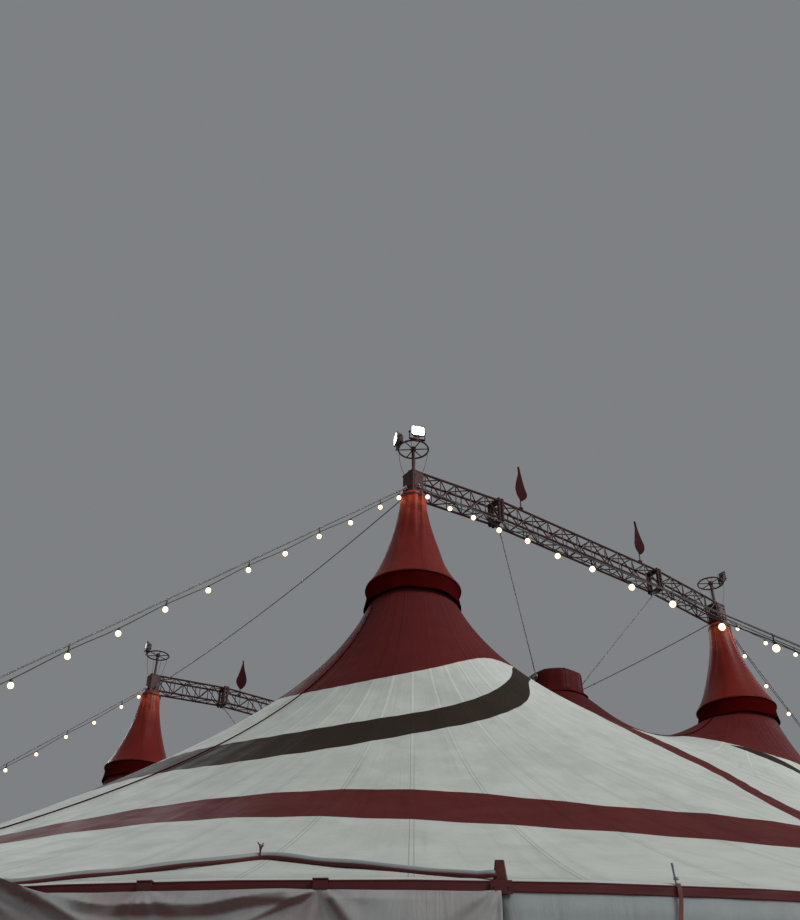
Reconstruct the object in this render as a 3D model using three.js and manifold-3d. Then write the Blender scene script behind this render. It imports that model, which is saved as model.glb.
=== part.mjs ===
// A four-mast circus big top: a round tent on two king-pole trusses, with striped canvas, peak cones,
// lamp wheels, festooned mast guys, side walls and four draped entrances.
// Millimetres, +Z up, origin on the ground at the centre of the ring. X runs along the trusses.
import * as THREE from "three";
import { mergeVertices } from "three/addons/utils/BufferGeometryUtils.js";
import Module from "manifold-3d";

const wasm = await Module();
wasm.setup();

// Driving dimensions

const MAST_X = 4350;
const MAST_Y = 5750;
const GAP = 0.3;

const EAVE_RADIUS = 15300;
const EAVE_Z = 3300;
const BAND_DEPTH = 85;
const BAND_DROP = 70;
const CLOTH = 20;
const RING_RADIUS = 740;
const RING_Z = 9700;
const ROOF_POWER = 1.07;
const RING_FADE = 2.5;
const VENT_LIFT = 0.2;
const VENT_SOFTNESS = 350;
const SIDE_LIFT = 0.4;
const SIDE_SOFTNESS = 2000;
const VENT_Y = 4700;

const BAYS = 26;
const STEP_DEG = 180 / BAYS;
const DOOR_STEPS = [5, 7];
const POLE_RADIUS = 30;
const WALL_THICKNESS = 12;
const WALL_BOTTOM = 5;
const STAKE_RADIUS_OUT = 17500;
const STRAP_INSET = 20;

const MAST_RADIUS = 110;
const HEAD_HALF = 140;
const HEAD_BOTTOM = 12010;
const TRUSS_TOP = 12500;
const TRUSS_HEIGHT = 460;
const TRUSS_HALF_WIDTH = 170;
const TRUSS_CAMBER = 180;
const FRAME_AT = 0.236;
const CHORD = 50;
const BRACE = 34;
const WHEEL_Z = 13100;
const WHEEL_RADIUS = 290;
const SLEEVE_TOP = 12000;

const GUY_HEAD_Z = 12150;
const GUY_RUN_X = 13900;
const GUY_RUN_Y = 14100;
const GUY_RADIUS = 12;
const FESTOON_DROP = 90;
const TIE_SAG = 200;

// Materials

const standard = (color, roughness, metalness) => {
  return new THREE.MeshStandardMaterial({ color, roughness, metalness });
};
const CANVAS = () => standard(0xb9b9b4, 0.6, 0);
const RED_VINYL = () => standard(0x4a1016, 0.45, 0);
const RED_PAINT = () => standard(0x4e1a1a, 0.5, 0.2);
const STEEL = () => standard(0x6d6f70, 0.4, 0.9);
const BLACK_PAINT = () => standard(0x1c1c1e, 0.5, 0.3);
const WALL_CLOTH = () => standard(0xc3c4c0, 0.7, 0);
const FLAG_CLOTH = () => standard(0x8f1f24, 0.8, 0);

// Solids

function solidOf(source) {
  const geometry = source.clone();
  geometry.deleteAttribute("normal");
  geometry.deleteAttribute("uv");
  const merged = mergeVertices(geometry, 1e-3);
  const vertProperties = Float32Array.from(merged.attributes.position.array);
  const triVerts = Uint32Array.from(merged.index.array);
  return new wasm.Manifold(new wasm.Mesh({ numProp: 3, vertProperties, triVerts }));
}

function geometryOf(solid) {
  const mesh = solid.getMesh();
  const geometry = new THREE.BufferGeometry();
  geometry.setAttribute("position", new THREE.BufferAttribute(Float32Array.from(mesh.vertProperties), 3));
  geometry.setIndex(new THREE.BufferAttribute(Uint32Array.from(mesh.triVerts), 1));
  geometry.computeVertexNormals();
  return geometry;
}

const join = (solids) => solids.slice(1).reduce((sum, solid) => sum.add(solid), solids[0]);

function indexed(points, index) {
  const geometry = new THREE.BufferGeometry();
  const flat = points.flatMap((point) => [point.x, point.y, point.z]);
  geometry.setAttribute("position", new THREE.BufferAttribute(Float32Array.from(flat), 3));
  geometry.setIndex(index);
  return geometry;
}

function alongLine(geometry, from, to) {
  const start = new THREE.Vector3(...from);
  const end = new THREE.Vector3(...to);
  const across = Math.abs(end.z - start.z) > 0.999 * start.distanceTo(end);
  const up = across ? new THREE.Vector3(1, 0, 0) : new THREE.Vector3(0, 0, 1);
  const turn = new THREE.Matrix4().lookAt(end, start, up);
  geometry.applyMatrix4(turn);
  return geometry.translate(...start.add(end).divideScalar(2).toArray());
}

const lengthOf = (from, to) => new THREE.Vector3(...from).distanceTo(new THREE.Vector3(...to));

function bar(from, to, width, height = width) {
  return solidOf(alongLine(new THREE.BoxGeometry(width, height, lengthOf(from, to)), from, to));
}

function rod(from, to, radius, sides) {
  const cylinder = new THREE.CylinderGeometry(radius, radius, lengthOf(from, to), sides);
  return solidOf(alongLine(cylinder.rotateX(Math.PI / 2), from, to));
}

const block = (centre, size) => solidOf(new THREE.BoxGeometry(...size).translate(...centre));

function turned(profile, segments) {
  const points = profile.map(([radius, z]) => new THREE.Vector2(radius, z));
  return solidOf(new THREE.LatheGeometry([...points, points[0]], segments).rotateX(Math.PI / 2));
}

// Compass of the tent: angle 0 faces the front (-Y) and grows toward the left (-X)

function polar(angle, radius, z) {
  const turn = THREE.MathUtils.degToRad(angle);
  return new THREE.Vector3(-radius * Math.sin(turn), -radius * Math.cos(turn), z);
}

// A section swept round the tent from angle to angle, closed at both ends

function sweptSector(sectionAt, angles) {
  const sections = angles.map(sectionAt);
  const count = sections[0].length;
  const points = sections.flatMap((section, i) => section.map(([radius, z]) => polar(angles[i], radius, z)));
  const index = [];
  for (let i = 0; i + 1 < angles.length; i++) {
    for (let j = 0; j < count; j++) {
      const a = i * count + j;
      const b = i * count + ((j + 1) % count);
      index.push(a, b, b + count, a, b + count, a + count);
    }
  }
  const outline = sections[0].map(([radius, z]) => new THREE.Vector2(radius, z));
  const last = (angles.length - 1) * count;
  for (const [a, b, c] of THREE.ShapeUtils.triangulateShape(outline, [])) {
    index.push(a, c, b, last + a, last + b, last + c);
  }
  return solidOf(indexed(points, index));
}

const steps = (first, last) => Array.from({ length: last - first + 1 }, (_, i) => (first + i) * STEP_DEG);

// Roof height: each mast ring, vent and side ridge lifts the cloth like a charge in a grounded circle,
// so the eave stays level and the peaks grow steep

function lift(x, y, [px, py], softness) {
  const apart = px * px + py * py;
  const scale = (EAVE_RADIUS * EAVE_RADIUS) / apart;
  const toImage = ((x - px * scale) ** 2 + (y - py * scale) ** 2) / scale;
  const toPoint = (x - px) ** 2 + (y - py) ** 2;
  return 0.5 * Math.log((toImage + softness ** 2) / (toPoint + softness ** 2));
}

const PEAKS = [[-1, -1], [1, -1], [-1, 1], [1, 1]].map(([sx, sy]) => [sx * MAST_X, sy * MAST_Y]);

function totalLift(x, y) {
  let sum = 0;
  for (const peak of PEAKS) {
    sum += lift(x, y, peak, 0);
  }
  for (const side of [-1, 1]) {
    sum += VENT_LIFT * lift(x, y, [0, side * VENT_Y], VENT_SOFTNESS);
    sum += SIDE_LIFT * lift(x, y, [side * MAST_X, 0], SIDE_SOFTNESS);
  }
  return sum;
}

const RING_SAMPLES = 24;
const ringLift = Array.from({ length: RING_SAMPLES }, (_, i) => {
  const turn = (i * 2 * Math.PI) / RING_SAMPLES;
  return totalLift(MAST_X + RING_RADIUS * Math.cos(turn), MAST_Y + RING_RADIUS * Math.sin(turn));
}).reduce((a, b) => a + b) / RING_SAMPLES;

function liftedHeight(x, y) {
  return EAVE_Z + (RING_Z - EAVE_Z) * Math.pow(Math.max(totalLift(x, y), 0) / ringLift, ROOF_POWER);
}

// The lifted height is levelled round the nearest mast, so that the whole ring edge lies at RING_Z

function roofHeight(x, y) {
  const [mx, my] = [x < 0 ? -MAST_X : MAST_X, y < 0 ? -MAST_Y : MAST_Y];
  const out = Math.hypot(x - mx, y - my);
  const t = RING_RADIUS / out;
  const level = RING_Z - liftedHeight(mx + (x - mx) * t, my + (y - my) * t);
  return liftedHeight(x, y) + level * Math.pow(t, RING_FADE);
}

function roofSlope(x, y) {
  const h = 5;
  const dx = (roofHeight(x + h, y) - roofHeight(x - h, y)) / (2 * h);
  const dy = (roofHeight(x, y + h) - roofHeight(x, y - h)) / (2 * h);
  return Math.hypot(dx, dy);
}

// One quarter of the roof: rays fan out from the mast ring to the quarter's own boundary

const ROOF_EDGE = EAVE_RADIUS - BAND_DEPTH - GAP;
const SEAM = GAP / 2;

function quarterBoundary() {
  const sidePoints = [0, MAST_X / 2, MAST_X + 900, 9600].map((x) => [Math.max(x, SEAM), SEAM]);
  const rimPoints = steps(0, BAYS / 2).map((angle) => {
    const turn = THREE.MathUtils.degToRad(90 - angle);
    return [Math.max(ROOF_EDGE * Math.sin(turn), SEAM), Math.max(ROOF_EDGE * Math.cos(turn), SEAM)];
  });
  const frontPoints = [10000, VENT_Y + 1100, VENT_Y, VENT_Y - 1500].map((y) => [SEAM, y]);
  return [...sidePoints, ...rimPoints, ...frontPoints];
}

const BOUNDARY = quarterBoundary();
const ROOF_STEPS = 7;

// How far the many-sided ring opening reaches from the mast in one direction

function ringReach(turn) {
  const full = 2 * Math.PI;
  const bearing = ([x, y]) => (Math.atan2(y - MAST_Y, x - MAST_X) - turn + 2 * full) % full;
  const turns = BOUNDARY.map(bearing).sort((a, b) => a - b);
  const before = turns[turns.length - 1] - full;
  const after = turns[0];
  return (RING_RADIUS * Math.cos((after - before) / 2)) / Math.cos((after + before) / 2);
}

function roofQuarter(sx, sy) {
  const columns = BOUNDARY.length;
  const rows = ROOF_STEPS + 1;
  const points = [];
  for (const [endX, endY] of BOUNDARY) {
    const reach = Math.hypot(endX - MAST_X, endY - MAST_Y);
    for (let row = 0; row < rows; row++) {
      const t = (RING_RADIUS / reach) * Math.pow(reach / RING_RADIUS, row / ROOF_STEPS);
      const x = MAST_X + (endX - MAST_X) * t;
      const y = MAST_Y + (endY - MAST_Y) * t;
      const z = roofHeight(x, y);
      const drop = CLOTH * Math.hypot(1, roofSlope(x, y));
      points.push(new THREE.Vector3(sx * x, sy * y, z), new THREE.Vector3(sx * x, sy * y, z - drop));
    }
  }
  const at = (column, row, under) => ((column % columns) * rows + row) * 2 + under;
  const index = [];
  const quad = (a, b, c, d) => index.push(a, c, b, a, d, c);
  for (let i = 0; i < columns; i++) {
    for (let j = 0; j < ROOF_STEPS; j++) {
      quad(at(i, j, 0), at(i + 1, j, 0), at(i + 1, j + 1, 0), at(i, j + 1, 0));
      quad(at(i, j, 1), at(i, j + 1, 1), at(i + 1, j + 1, 1), at(i + 1, j, 1));
    }
    quad(at(i, 0, 0), at(i, 0, 1), at(i + 1, 0, 1), at(i + 1, 0, 0));
    quad(at(i, ROOF_STEPS, 0), at(i + 1, ROOF_STEPS, 0), at(i + 1, ROOF_STEPS, 1), at(i, ROOF_STEPS, 1));
  }
  if (sx * sy < 0) {
    index.reverse();
  }
  const throat = octagon(THROAT_APOTHEM + GAP, THROAT_FLOOR - 180, VENT_TOP, sy);
  return solidOf(indexed(points, index)).subtract(throat);
}

// Roof vents: an eight-sided cap over a throat that passes through the roof

const THROAT_APOTHEM = 420;
const VENT_APOTHEM = 530;
const VENT_SKIRT = 620;
const VENT_FLOOR = 9610;
const VENT_TOP = 9945;
const THROAT_FLOOR = 8980;
const VENT_WALL = 25;

function octagon(apothem, low, high, sy, topApothem = apothem) {
  const sides = 8;
  const scale = 1 / Math.cos(Math.PI / sides);
  const prism = new THREE.CylinderGeometry(topApothem * scale, apothem * scale, high - low, sides);
  prism.rotateX(Math.PI / 2).rotateZ(Math.PI / sides);
  return solidOf(prism.translate(0, sy * VENT_Y, (low + high) / 2));
}

function vent(sy) {
  const shoulder = VENT_TOP - 45;
  const skirt = octagon(VENT_SKIRT, VENT_FLOOR, VENT_FLOOR + 70, sy, VENT_APOTHEM);
  const drum = octagon(VENT_APOTHEM, VENT_FLOOR + 70, shoulder, sy);
  const lid = octagon(VENT_APOTHEM, shoulder, VENT_TOP, sy, VENT_APOTHEM - 70);
  const throat = octagon(THROAT_APOTHEM, THROAT_FLOOR, shoulder, sy);
  const hollow = octagon(THROAT_APOTHEM - VENT_WALL, THROAT_FLOOR - 60, shoulder - 20, sy);
  const lugs = [-1, 1].map((sx) => block([sx * LUG_X, sy * VENT_Y, LUG_Z], [80, 60, 80]));
  return join([skirt, drum, lid, throat, ...lugs]).subtract(hollow);
}

const LUG_X = VENT_APOTHEM + 30;
const LUG_Z = 9790;

function ventCable(sx, sy) {
  const frameX = (1 - 2 * FRAME_AT) * MAST_X;
  const foot = chordHeight(frameX) - TRUSS_HEIGHT + CHORD - FRAME_MARGIN - FRAME_WIDTH / 2 - GAP;
  const top = [sx * (frameX - FRAME_WIDTH), sy * MAST_Y, foot - 30];
  const low = [sx * (LUG_X + 20), sy * (VENT_Y + 60), LUG_Z + 20];
  const eye = block([top[0], top[1], foot - 20], [80, 80, 40]);
  const clear = block([sx * LUG_X, sy * VENT_Y, LUG_Z], [80 + 2 * GAP, 60 + 2 * GAP, 80 + 2 * GAP]);
  const shackle = block([sx * LUG_X, sy * (VENT_Y + 60), LUG_Z], [60, 60 - 2 * GAP, 60]);
  return join([eye, rod(top, low, GUY_RADIUS, 6), shackle]).subtract(clear);
}

// Masts: base plate, shaft, bale ring under the roof, head box, lamp post and lamp wheel

const YOKE_PLATE_Z = WHEEL_Z + 25;
const PIVOT_RISE = 165;
const LAMP_HALF_WIDTH = 135;
const LAMP_HALF_HEIGHT = 115;
const LAMP_HALF_DEPTH = 75;
const LAMP_CLEARANCE = 7;
const ARM = 14;
const PIN_RADIUS = 9;
const PIN_CLEARANCE = 0.9;
const PIN_SIDES = 12;

function localFrame(mast, bearing) {
  const [mx, my] = mast;
  const turn = THREE.MathUtils.degToRad(bearing);
  const out = new THREE.Vector3(-Math.sin(turn), -Math.cos(turn), 0);
  const side = new THREE.Vector3(out.y, -out.x, 0);
  const z = YOKE_PLATE_Z + PIVOT_RISE;
  const pivot = new THREE.Vector3(mx, my, z).addScaledVector(out, WHEEL_RADIUS);
  return new THREE.Matrix4().makeBasis(side, out, new THREE.Vector3(0, 0, 1)).setPosition(pivot);
}

function placedBox(matrix, centre, size) {
  return solidOf(new THREE.BoxGeometry(...size).translate(...centre).applyMatrix4(matrix));
}

function placedPin(matrix, radius, half) {
  const pin = new THREE.CylinderGeometry(radius, radius, 2 * half, PIN_SIDES).rotateZ(Math.PI / 2);
  return solidOf(pin.applyMatrix4(matrix));
}

function yoke(mast, bearing) {
  const matrix = localFrame(mast, bearing);
  const arm = LAMP_HALF_WIDTH + LAMP_CLEARANCE + ARM / 2;
  const base = placedBox(matrix, [0, 0, 6 - PIVOT_RISE], [2 * arm + ARM, 60, 12]);
  const foot = placedBox(matrix, [0, 0, -PIVOT_RISE - 12], [60, 50, 40]);
  const armSize = [ARM, 40, PIVOT_RISE + 12];
  const arms = [-1, 1].map((s) => placedBox(matrix, [s * arm, 0, 18 - PIVOT_RISE / 2], armSize));
  return join([base, foot, ...arms]).subtract(placedPin(matrix, PIN_RADIUS + PIN_CLEARANCE, arm + ARM));
}

function floodlight(mast, bearing) {
  const matrix = localFrame(mast, bearing);
  const housing = new THREE.CylinderGeometry(Math.SQRT2, Math.SQRT1_2, 1, 4).rotateY(Math.PI / 4);
  housing.scale(LAMP_HALF_WIDTH, 2 * LAMP_HALF_DEPTH, LAMP_HALF_HEIGHT);
  const body = solidOf(housing.applyMatrix4(matrix));
  const reach = LAMP_HALF_WIDTH + LAMP_CLEARANCE + ARM + 8;
  return body.add(placedPin(matrix, PIN_RADIUS, reach));
}

function mast([mx, my], bearings) {
  const sx = Math.sign(mx);
  const sy = Math.sign(my);
  const at = (z) => [mx, my, z];
  const plate = block(at(12), [600, 600, 24]);
  const shaft = rod(at(0), at(HEAD_BOTTOM + 20), MAST_RADIUS, 10);
  const headSize = [2 * HEAD_HALF, 2 * HEAD_HALF, TRUSS_TOP - HEAD_BOTTOM];
  const head = block(at((HEAD_BOTTOM + TRUSS_TOP) / 2), headSize);
  const post = rod(at(TRUSS_TOP - 20), at(WHEEL_Z + 40), 32, 8);
  const rim = turned(ringSection(WHEEL_RADIUS, 18, WHEEL_Z), 12).translate([mx, my, 0]);
  const spokes = [
    bar([mx - WHEEL_RADIUS, my, WHEEL_Z], [mx + WHEEL_RADIUS, my, WHEEL_Z], 22),
    bar([mx, my - WHEEL_RADIUS, WHEEL_Z], [mx, my + WHEEL_RADIUS, WHEEL_Z], 22),
  ];
  const yokes = bearings.map((bearing) => yoke([mx, my], bearing));
  return join([plate, shaft, head, post, rim, ...spokes, ...yokes, baleRing(sx, sy)]);
}

const ringSection = (radius, half, z) => [
  [radius - half, z - half],
  [radius + half, z - half],
  [radius + half, z + half],
  [radius - half, z + half],
];

// The bale ring holds the roof's ring edge: a hoop whose four spokes reach the cloth

const HOOP_INSET = 70;
const SPOKE = 44;

function baleRing(sx, sy) {
  const z = RING_Z - CLOTH;
  const hoop = turned(ringSection(RING_RADIUS - HOOP_INSET, 18, z), 10);
  const pieces = [hoop.translate([sx * MAST_X, sy * MAST_Y, 0])];
  for (let i = 0; i < 4; i++) {
    const turn = (i * Math.PI) / 2;
    const half = Math.atan(SPOKE / 2 / RING_RADIUS);
    const reach = Math.min(ringReach(turn - half), ringReach(turn + half)) * Math.cos(half) - GAP;
    const end = [sx * (MAST_X + Math.cos(turn) * reach), sy * (MAST_Y + Math.sin(turn) * reach), z];
    pieces.push(bar([sx * MAST_X, sy * MAST_Y, z], end, SPOKE));
  }
  return join(pieces);
}

// Peak cones: a sleeve round the mast neck that flares to a hem and a short skirt over the bale ring

const CONE_SIDES = 16;
const CONE_WALL = 18;
const SLEEVE_RADIUS = 240;
// Radius and height from the foot of the skirt over the hem ring up to the sleeve
const CONE_FLARE = [[770, 9720], [830, 9950], [785, 10050], [530, 10630], [350, 11260], [250, 11800]];

function cone([mx, my]) {
  const neck = (MAST_RADIUS + GAP) / Math.cos(Math.PI / CONE_SIDES);
  const crown = [
    [SLEEVE_RADIUS, SLEEVE_TOP],
    [neck, SLEEVE_TOP],
    [neck, SLEEVE_TOP - CONE_WALL],
    [SLEEVE_RADIUS - CONE_WALL, SLEEVE_TOP - CONE_WALL],
  ];
  const lining = CONE_FLARE.map(([radius, z]) => [radius - CONE_WALL, z]).reverse();
  return turned([...CONE_FLARE, ...crown, ...lining], CONE_SIDES).translate([mx, my, 0]);
}

// Trusses: two end segments and a middle one, square lattice girders under a shallow three-part arch

const FRAME_WIDTH = 45;
const FRAME_MARGIN = 30;

function chordHeight(x) {
  const frameX = (1 - 2 * FRAME_AT) * MAST_X;
  const t = Math.min((MAST_X - Math.abs(x)) / (MAST_X - frameX), 1);
  return TRUSS_TOP - CHORD / 2 + TRUSS_CAMBER * t;
}

function truss(from, to, bays, sy, framed) {
  const y = (s) => sy * MAST_Y + s * (TRUSS_HALF_WIDTH - CHORD / 2);
  const place = (x, side, low) => [x, y(side), chordHeight(x) - low * (TRUSS_HEIGHT - CHORD)];
  const stations = Array.from({ length: bays + 1 }, (_, i) => from + ((to - from) * i) / bays);
  const pieces = [];
  for (const side of [-1, 1]) {
    pieces.push(...chord(from, to, place, side));
    for (let i = 0; i < bays; i++) {
      pieces.push(bar(place(stations[i], side, i % 2), place(stations[i + 1], side, 1 - (i % 2)), BRACE));
    }
  }
  const inset = (Math.sign(to - from) * FRAME_WIDTH) / 2;
  const battens = framed ? stations.slice(1, -1) : [from + inset, stations[1], to - inset];
  battens.forEach((x, i) => pieces.push(bar(place(x, -1, i % 2), place(x, 1, i % 2), BRACE)));
  if (framed) {
    pieces.push(frame(from + inset, sy, FRAME_MARGIN), frame(to - inset, sy, FRAME_MARGIN));
  }
  const length = Math.abs(to - from);
  return join(pieces).intersect(block([(from + to) / 2, sy * MAST_Y, TRUSS_TOP], [length, 1000, 2000]));
}

// The chords run a little past both ends, where the segment is cut square

function chord(from, to, place, side) {
  const past = Math.sign(to - from) * 10;
  const rise = (chordHeight(to) - chordHeight(from)) / (to - from);
  return [0, 1].map((low) => {
    const [x0, y0, z0] = place(from, side, low);
    const [x1, y1, z1] = place(to, side, low);
    return bar([x0 - past, y0, z0 - past * rise], [x1 + past, y1, z1 + past * rise], CHORD);
  });
}

function frame(x, sy, extra) {
  const half = TRUSS_HALF_WIDTH + extra - FRAME_WIDTH / 2;
  const top = chordHeight(x) + extra;
  const low = chordHeight(x) - TRUSS_HEIGHT + CHORD - extra;
  const corner = (side, z) => [x, sy * MAST_Y + side * half, z];
  return join([
    bar(corner(-1, low - FRAME_WIDTH / 2), corner(-1, top + FRAME_WIDTH / 2), FRAME_WIDTH),
    bar(corner(1, low - FRAME_WIDTH / 2), corner(1, top + FRAME_WIDTH / 2), FRAME_WIDTH),
    bar(corner(-1, low), corner(1, low), FRAME_WIDTH),
    bar(corner(-1, top), corner(1, top), FRAME_WIDTH),
  ]);
}

// Flags stand clamped on the near top chord of each middle truss

const FLAG_AT = 0.3;

function flag(sx, sy) {
  const x = sx * (1 - 2 * FLAG_AT) * MAST_X;
  const y = sy * (MAST_Y + TRUSS_HALF_WIDTH - CHORD / 2);
  const base = TRUSS_TOP + TRUSS_CAMBER + GAP;
  const clamp = block([x, y, base + 25], [70, 60, 50]);
  const pole = rod([x, y, base], [x, y, base + 1060], 13, 6);
  const outline = new THREE.Shape();
  outline.moveTo(0, 1045);
  outline.quadraticCurveTo(50, 760, 125, 420);
  outline.quadraticCurveTo(110, 250, 10, 140);
  outline.quadraticCurveTo(-85, 260, -100, 400);
  outline.quadraticCurveTo(-50, 740, 0, 1045);
  const cloth = new THREE.ExtrudeGeometry(outline, { depth: 16, bevelEnabled: false, curveSegments: 3 });
  cloth.translate(0, 0, -8).rotateX(Math.PI / 2).translate(x, y, base);
  return join([clamp, pole, solidOf(cloth)]);
}

// Ties between the mast heads, sagging under their own weight, with two clamps each

function tie(sx) {
  const reach = MAST_Y - HEAD_HALF - GAP;
  const height = (y) => GUY_HEAD_Z - TIE_SAG * (1 - (y / reach) ** 2);
  const spans = 8;
  const curve = new THREE.CatmullRomCurve3(Array.from({ length: spans + 1 }, (_, i) => {
    const y = (reach - 15) * ((2 * i) / spans - 1);
    return new THREE.Vector3(sx * MAST_X, y, height(y));
  }));
  const section = new THREE.Shape();
  const sides = 6;
  for (let i = 0; i < sides; i++) {
    const turn = (i * 2 * Math.PI) / sides;
    const point = [GUY_RADIUS * Math.cos(turn), GUY_RADIUS * Math.sin(turn)];
    if (i) {
      section.lineTo(...point);
    } else {
      section.moveTo(...point);
    }
  }
  const rope = solidOf(new THREE.ExtrudeGeometry(section, { steps: 8, extrudePath: curve }));
  const clamps = [-1, 1].map((s) => block([sx * MAST_X, s * 1800, height(1800)], [60, 130, 80]));
  const ends = [-1, 1].map((s) => block([sx * MAST_X, s * (reach - 30), GUY_HEAD_Z - 6], [50, 60, 60]));
  return join([rope, ...clamps, ...ends]);
}

// Mast guys: a wire from the mast head to a ground plate, with a festoon lead clipped below it

const GUY_CLIPS = 2;
const ANCHOR_TOP = 60;
const FESTOON_FROM = 500;
const FESTOON_TO = 10600;

function guy([mx, my], [ox, oy]) {
  const run = ox ? GUY_RUN_X : GUY_RUN_Y;
  const place = (out, z) => [mx + ox * out, my + oy * out, z];
  const sized = (along, across, high) => (ox ? [along, across, high] : [across, along, high]);
  const start = HEAD_HALF + GAP;
  const slope = (GUY_HEAD_Z - ANCHOR_TOP) / (run - start);
  const onWire = (out) => GUY_HEAD_Z - slope * (out - start);
  const below = (out) => onWire(out) - FESTOON_DROP;
  const wire = rod(place(start + 20, onWire(start + 20)), place(run, onWire(run) - 20), GUY_RADIUS, 6);
  const shackle = block(place(start + 30, GUY_HEAD_Z - 10), sized(60, 50, 90));
  const lead = rod(place(FESTOON_FROM, below(FESTOON_FROM)), place(FESTOON_TO, below(FESTOON_TO)), 8, 4);
  const clips = Array.from({ length: GUY_CLIPS }, (_, i) => {
    const out = FESTOON_FROM + 60 + ((FESTOON_TO - FESTOON_FROM - 120) * i) / (GUY_CLIPS - 1);
    return bar(place(out, onWire(out) + 2), place(out, below(out) - 2), 26);
  });
  const plate = block(place(run, ANCHOR_TOP / 2), sized(190, 460, ANCHOR_TOP));
  const post = block(place(run, 105), [60, 60, 150]);
  return join([wire, shackle, lead, ...clips, plate, post]);
}

// Side frames: the eave band, its poles and the storm straps to their stakes

const BAND_INNER = EAVE_RADIUS - BAND_DEPTH;
const POLE_AT = EAVE_RADIUS - BAND_DEPTH / 2 - 4;

function bandSection() {
  return [
    [BAND_INNER, EAVE_Z - BAND_DROP],
    [EAVE_RADIUS, EAVE_Z - BAND_DROP],
    [EAVE_RADIUS, EAVE_Z],
    [BAND_INNER, EAVE_Z + 37],
  ];
}

function storm(angle) {
  const at = (radius, z) => polar(angle, radius, z).toArray();
  const strap = bar(at(EAVE_RADIUS - STRAP_INSET, EAVE_Z - STRAP_INSET), at(STAKE_RADIUS_OUT, 190), 50, 10);
  return [strap, bar(at(STAKE_RADIUS_OUT, 0), at(STAKE_RADIUS_OUT, 260), 44)];
}

// A flat tapered cap over the band at each doorway's jamb

const CAP_TOP_RADIUS = 42;
const CAP_FOOT_RADIUS = 80;
const CAP_HEIGHT = 230;
const CAP_FLATNESS = 0.42;

function cap(angle) {
  const taper = new THREE.CylinderGeometry(CAP_TOP_RADIUS, CAP_FOOT_RADIUS, CAP_HEIGHT, 4);
  taper.rotateY(Math.PI / 4).rotateX(Math.PI / 2).scale(1, CAP_FLATNESS, 1);
  taper.rotateZ(THREE.MathUtils.degToRad(-angle));
  return solidOf(taper.translate(...polar(angle, POLE_AT + 8, EAVE_Z + 75).toArray()));
}

function sideFrame(first, last) {
  const inset = THREE.MathUtils.radToDeg(SEAM / EAVE_RADIUS);
  const angles = steps(first, last);
  angles[0] += inset;
  angles[angles.length - 1] -= inset;
  const pieces = [sweptSector(bandSection, angles)];
  for (let i = first; i <= last; i++) {
    if (Math.abs(i) % 2 === 0) {
      continue;
    }
    const angle = i * STEP_DEG;
    const [foot, top] = [0, EAVE_Z - 30].map((z) => polar(angle, POLE_AT, z).toArray());
    pieces.push(rod(foot, top, POLE_RADIUS, 6));
    const quarterStep = Math.abs(i) % BAYS;
    const jamb = DOOR_STEPS.some((step) => quarterStep === step || quarterStep === BAYS - step);
    pieces.push(...(jamb ? [cap(angle)] : storm(angle)));
  }
  return join(pieces);
}

// Walls hang outside the poles from the band, and swagged curtains dress the four doorways

const WALL_OUTER = EAVE_RADIUS - 1.5;
const WALL_TOP = EAVE_Z - BAND_DROP - GAP;

function wall(first, last) {
  const section = () => [
    [WALL_OUTER - WALL_THICKNESS, WALL_BOTTOM],
    [WALL_OUTER, WALL_BOTTOM],
    [WALL_OUTER, WALL_TOP],
    [WALL_OUTER - WALL_THICKNESS, WALL_TOP],
  ];
  return sweptSector(section, steps(first, last));
}

const CURTAIN_CROWN = 2520;
const CURTAIN_RISE = 120;
const CURTAIN_INSET_DEG = 0.01;
// Shares of the doorway's width at which the curtain's edge is cut, closer together in its tails
const CURTAIN_CUTS = [0, 0.02, 0.1, 0.16, 0.24, 0.36, 0.5, 0.64, 0.76, 0.84, 0.9, 0.98, 1];

function curtain(first, last) {
  const from = first * STEP_DEG + CURTAIN_INSET_DEG;
  const span = (last - first) * STEP_DEG - 2 * CURTAIN_INSET_DEG;
  const lowAt = (t) => {
    const side = Math.abs(2 * t - 1);
    const tail = THREE.MathUtils.smoothstep(side, 0.66, 0.86);
    return THREE.MathUtils.lerp(CURTAIN_CROWN - CURTAIN_RISE * (1 - side ** 2), WALL_BOTTOM, tail);
  };
  const section = (angle) => {
    const t = (angle - from) / span;
    const flat = STEP_DEG * THREE.MathUtils.DEG2RAD;
    const across = (t * 2) % 1;
    const chord = Math.cos(flat / 2) / Math.cos(flat * (across - 0.5));
    const outer = WALL_OUTER * (t === 1 ? 1 : chord);
    const low = lowAt(t);
    const inner = outer - WALL_THICKNESS;
    return [[inner, low], [outer, low], [outer, WALL_TOP], [inner, WALL_TOP]];
  };
  return sweptSector(section, CURTAIN_CUTS.map((t) => from + span * t));
}

// The tent

const tent = new THREE.Group();
tent.name = "circus_big_top";

function place(name, solid, material) {
  const mesh = new THREE.Mesh(geometryOf(solid), material);
  mesh.name = name;
  tent.add(mesh);
}

const SIDES = [["front", -1], ["rear", 1]];
const HANDS = [["left", -1], ["right", 1]];

// Bearings of the floodlights on each lamp wheel, on the tent's compass
const LAMPS = {
  front_left: [["a", 112], ["b", 22]],
  front_right: [["a", -60]],
  rear_left: [["a", 100]],
  rear_right: [["a", -120]],
};

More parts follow.
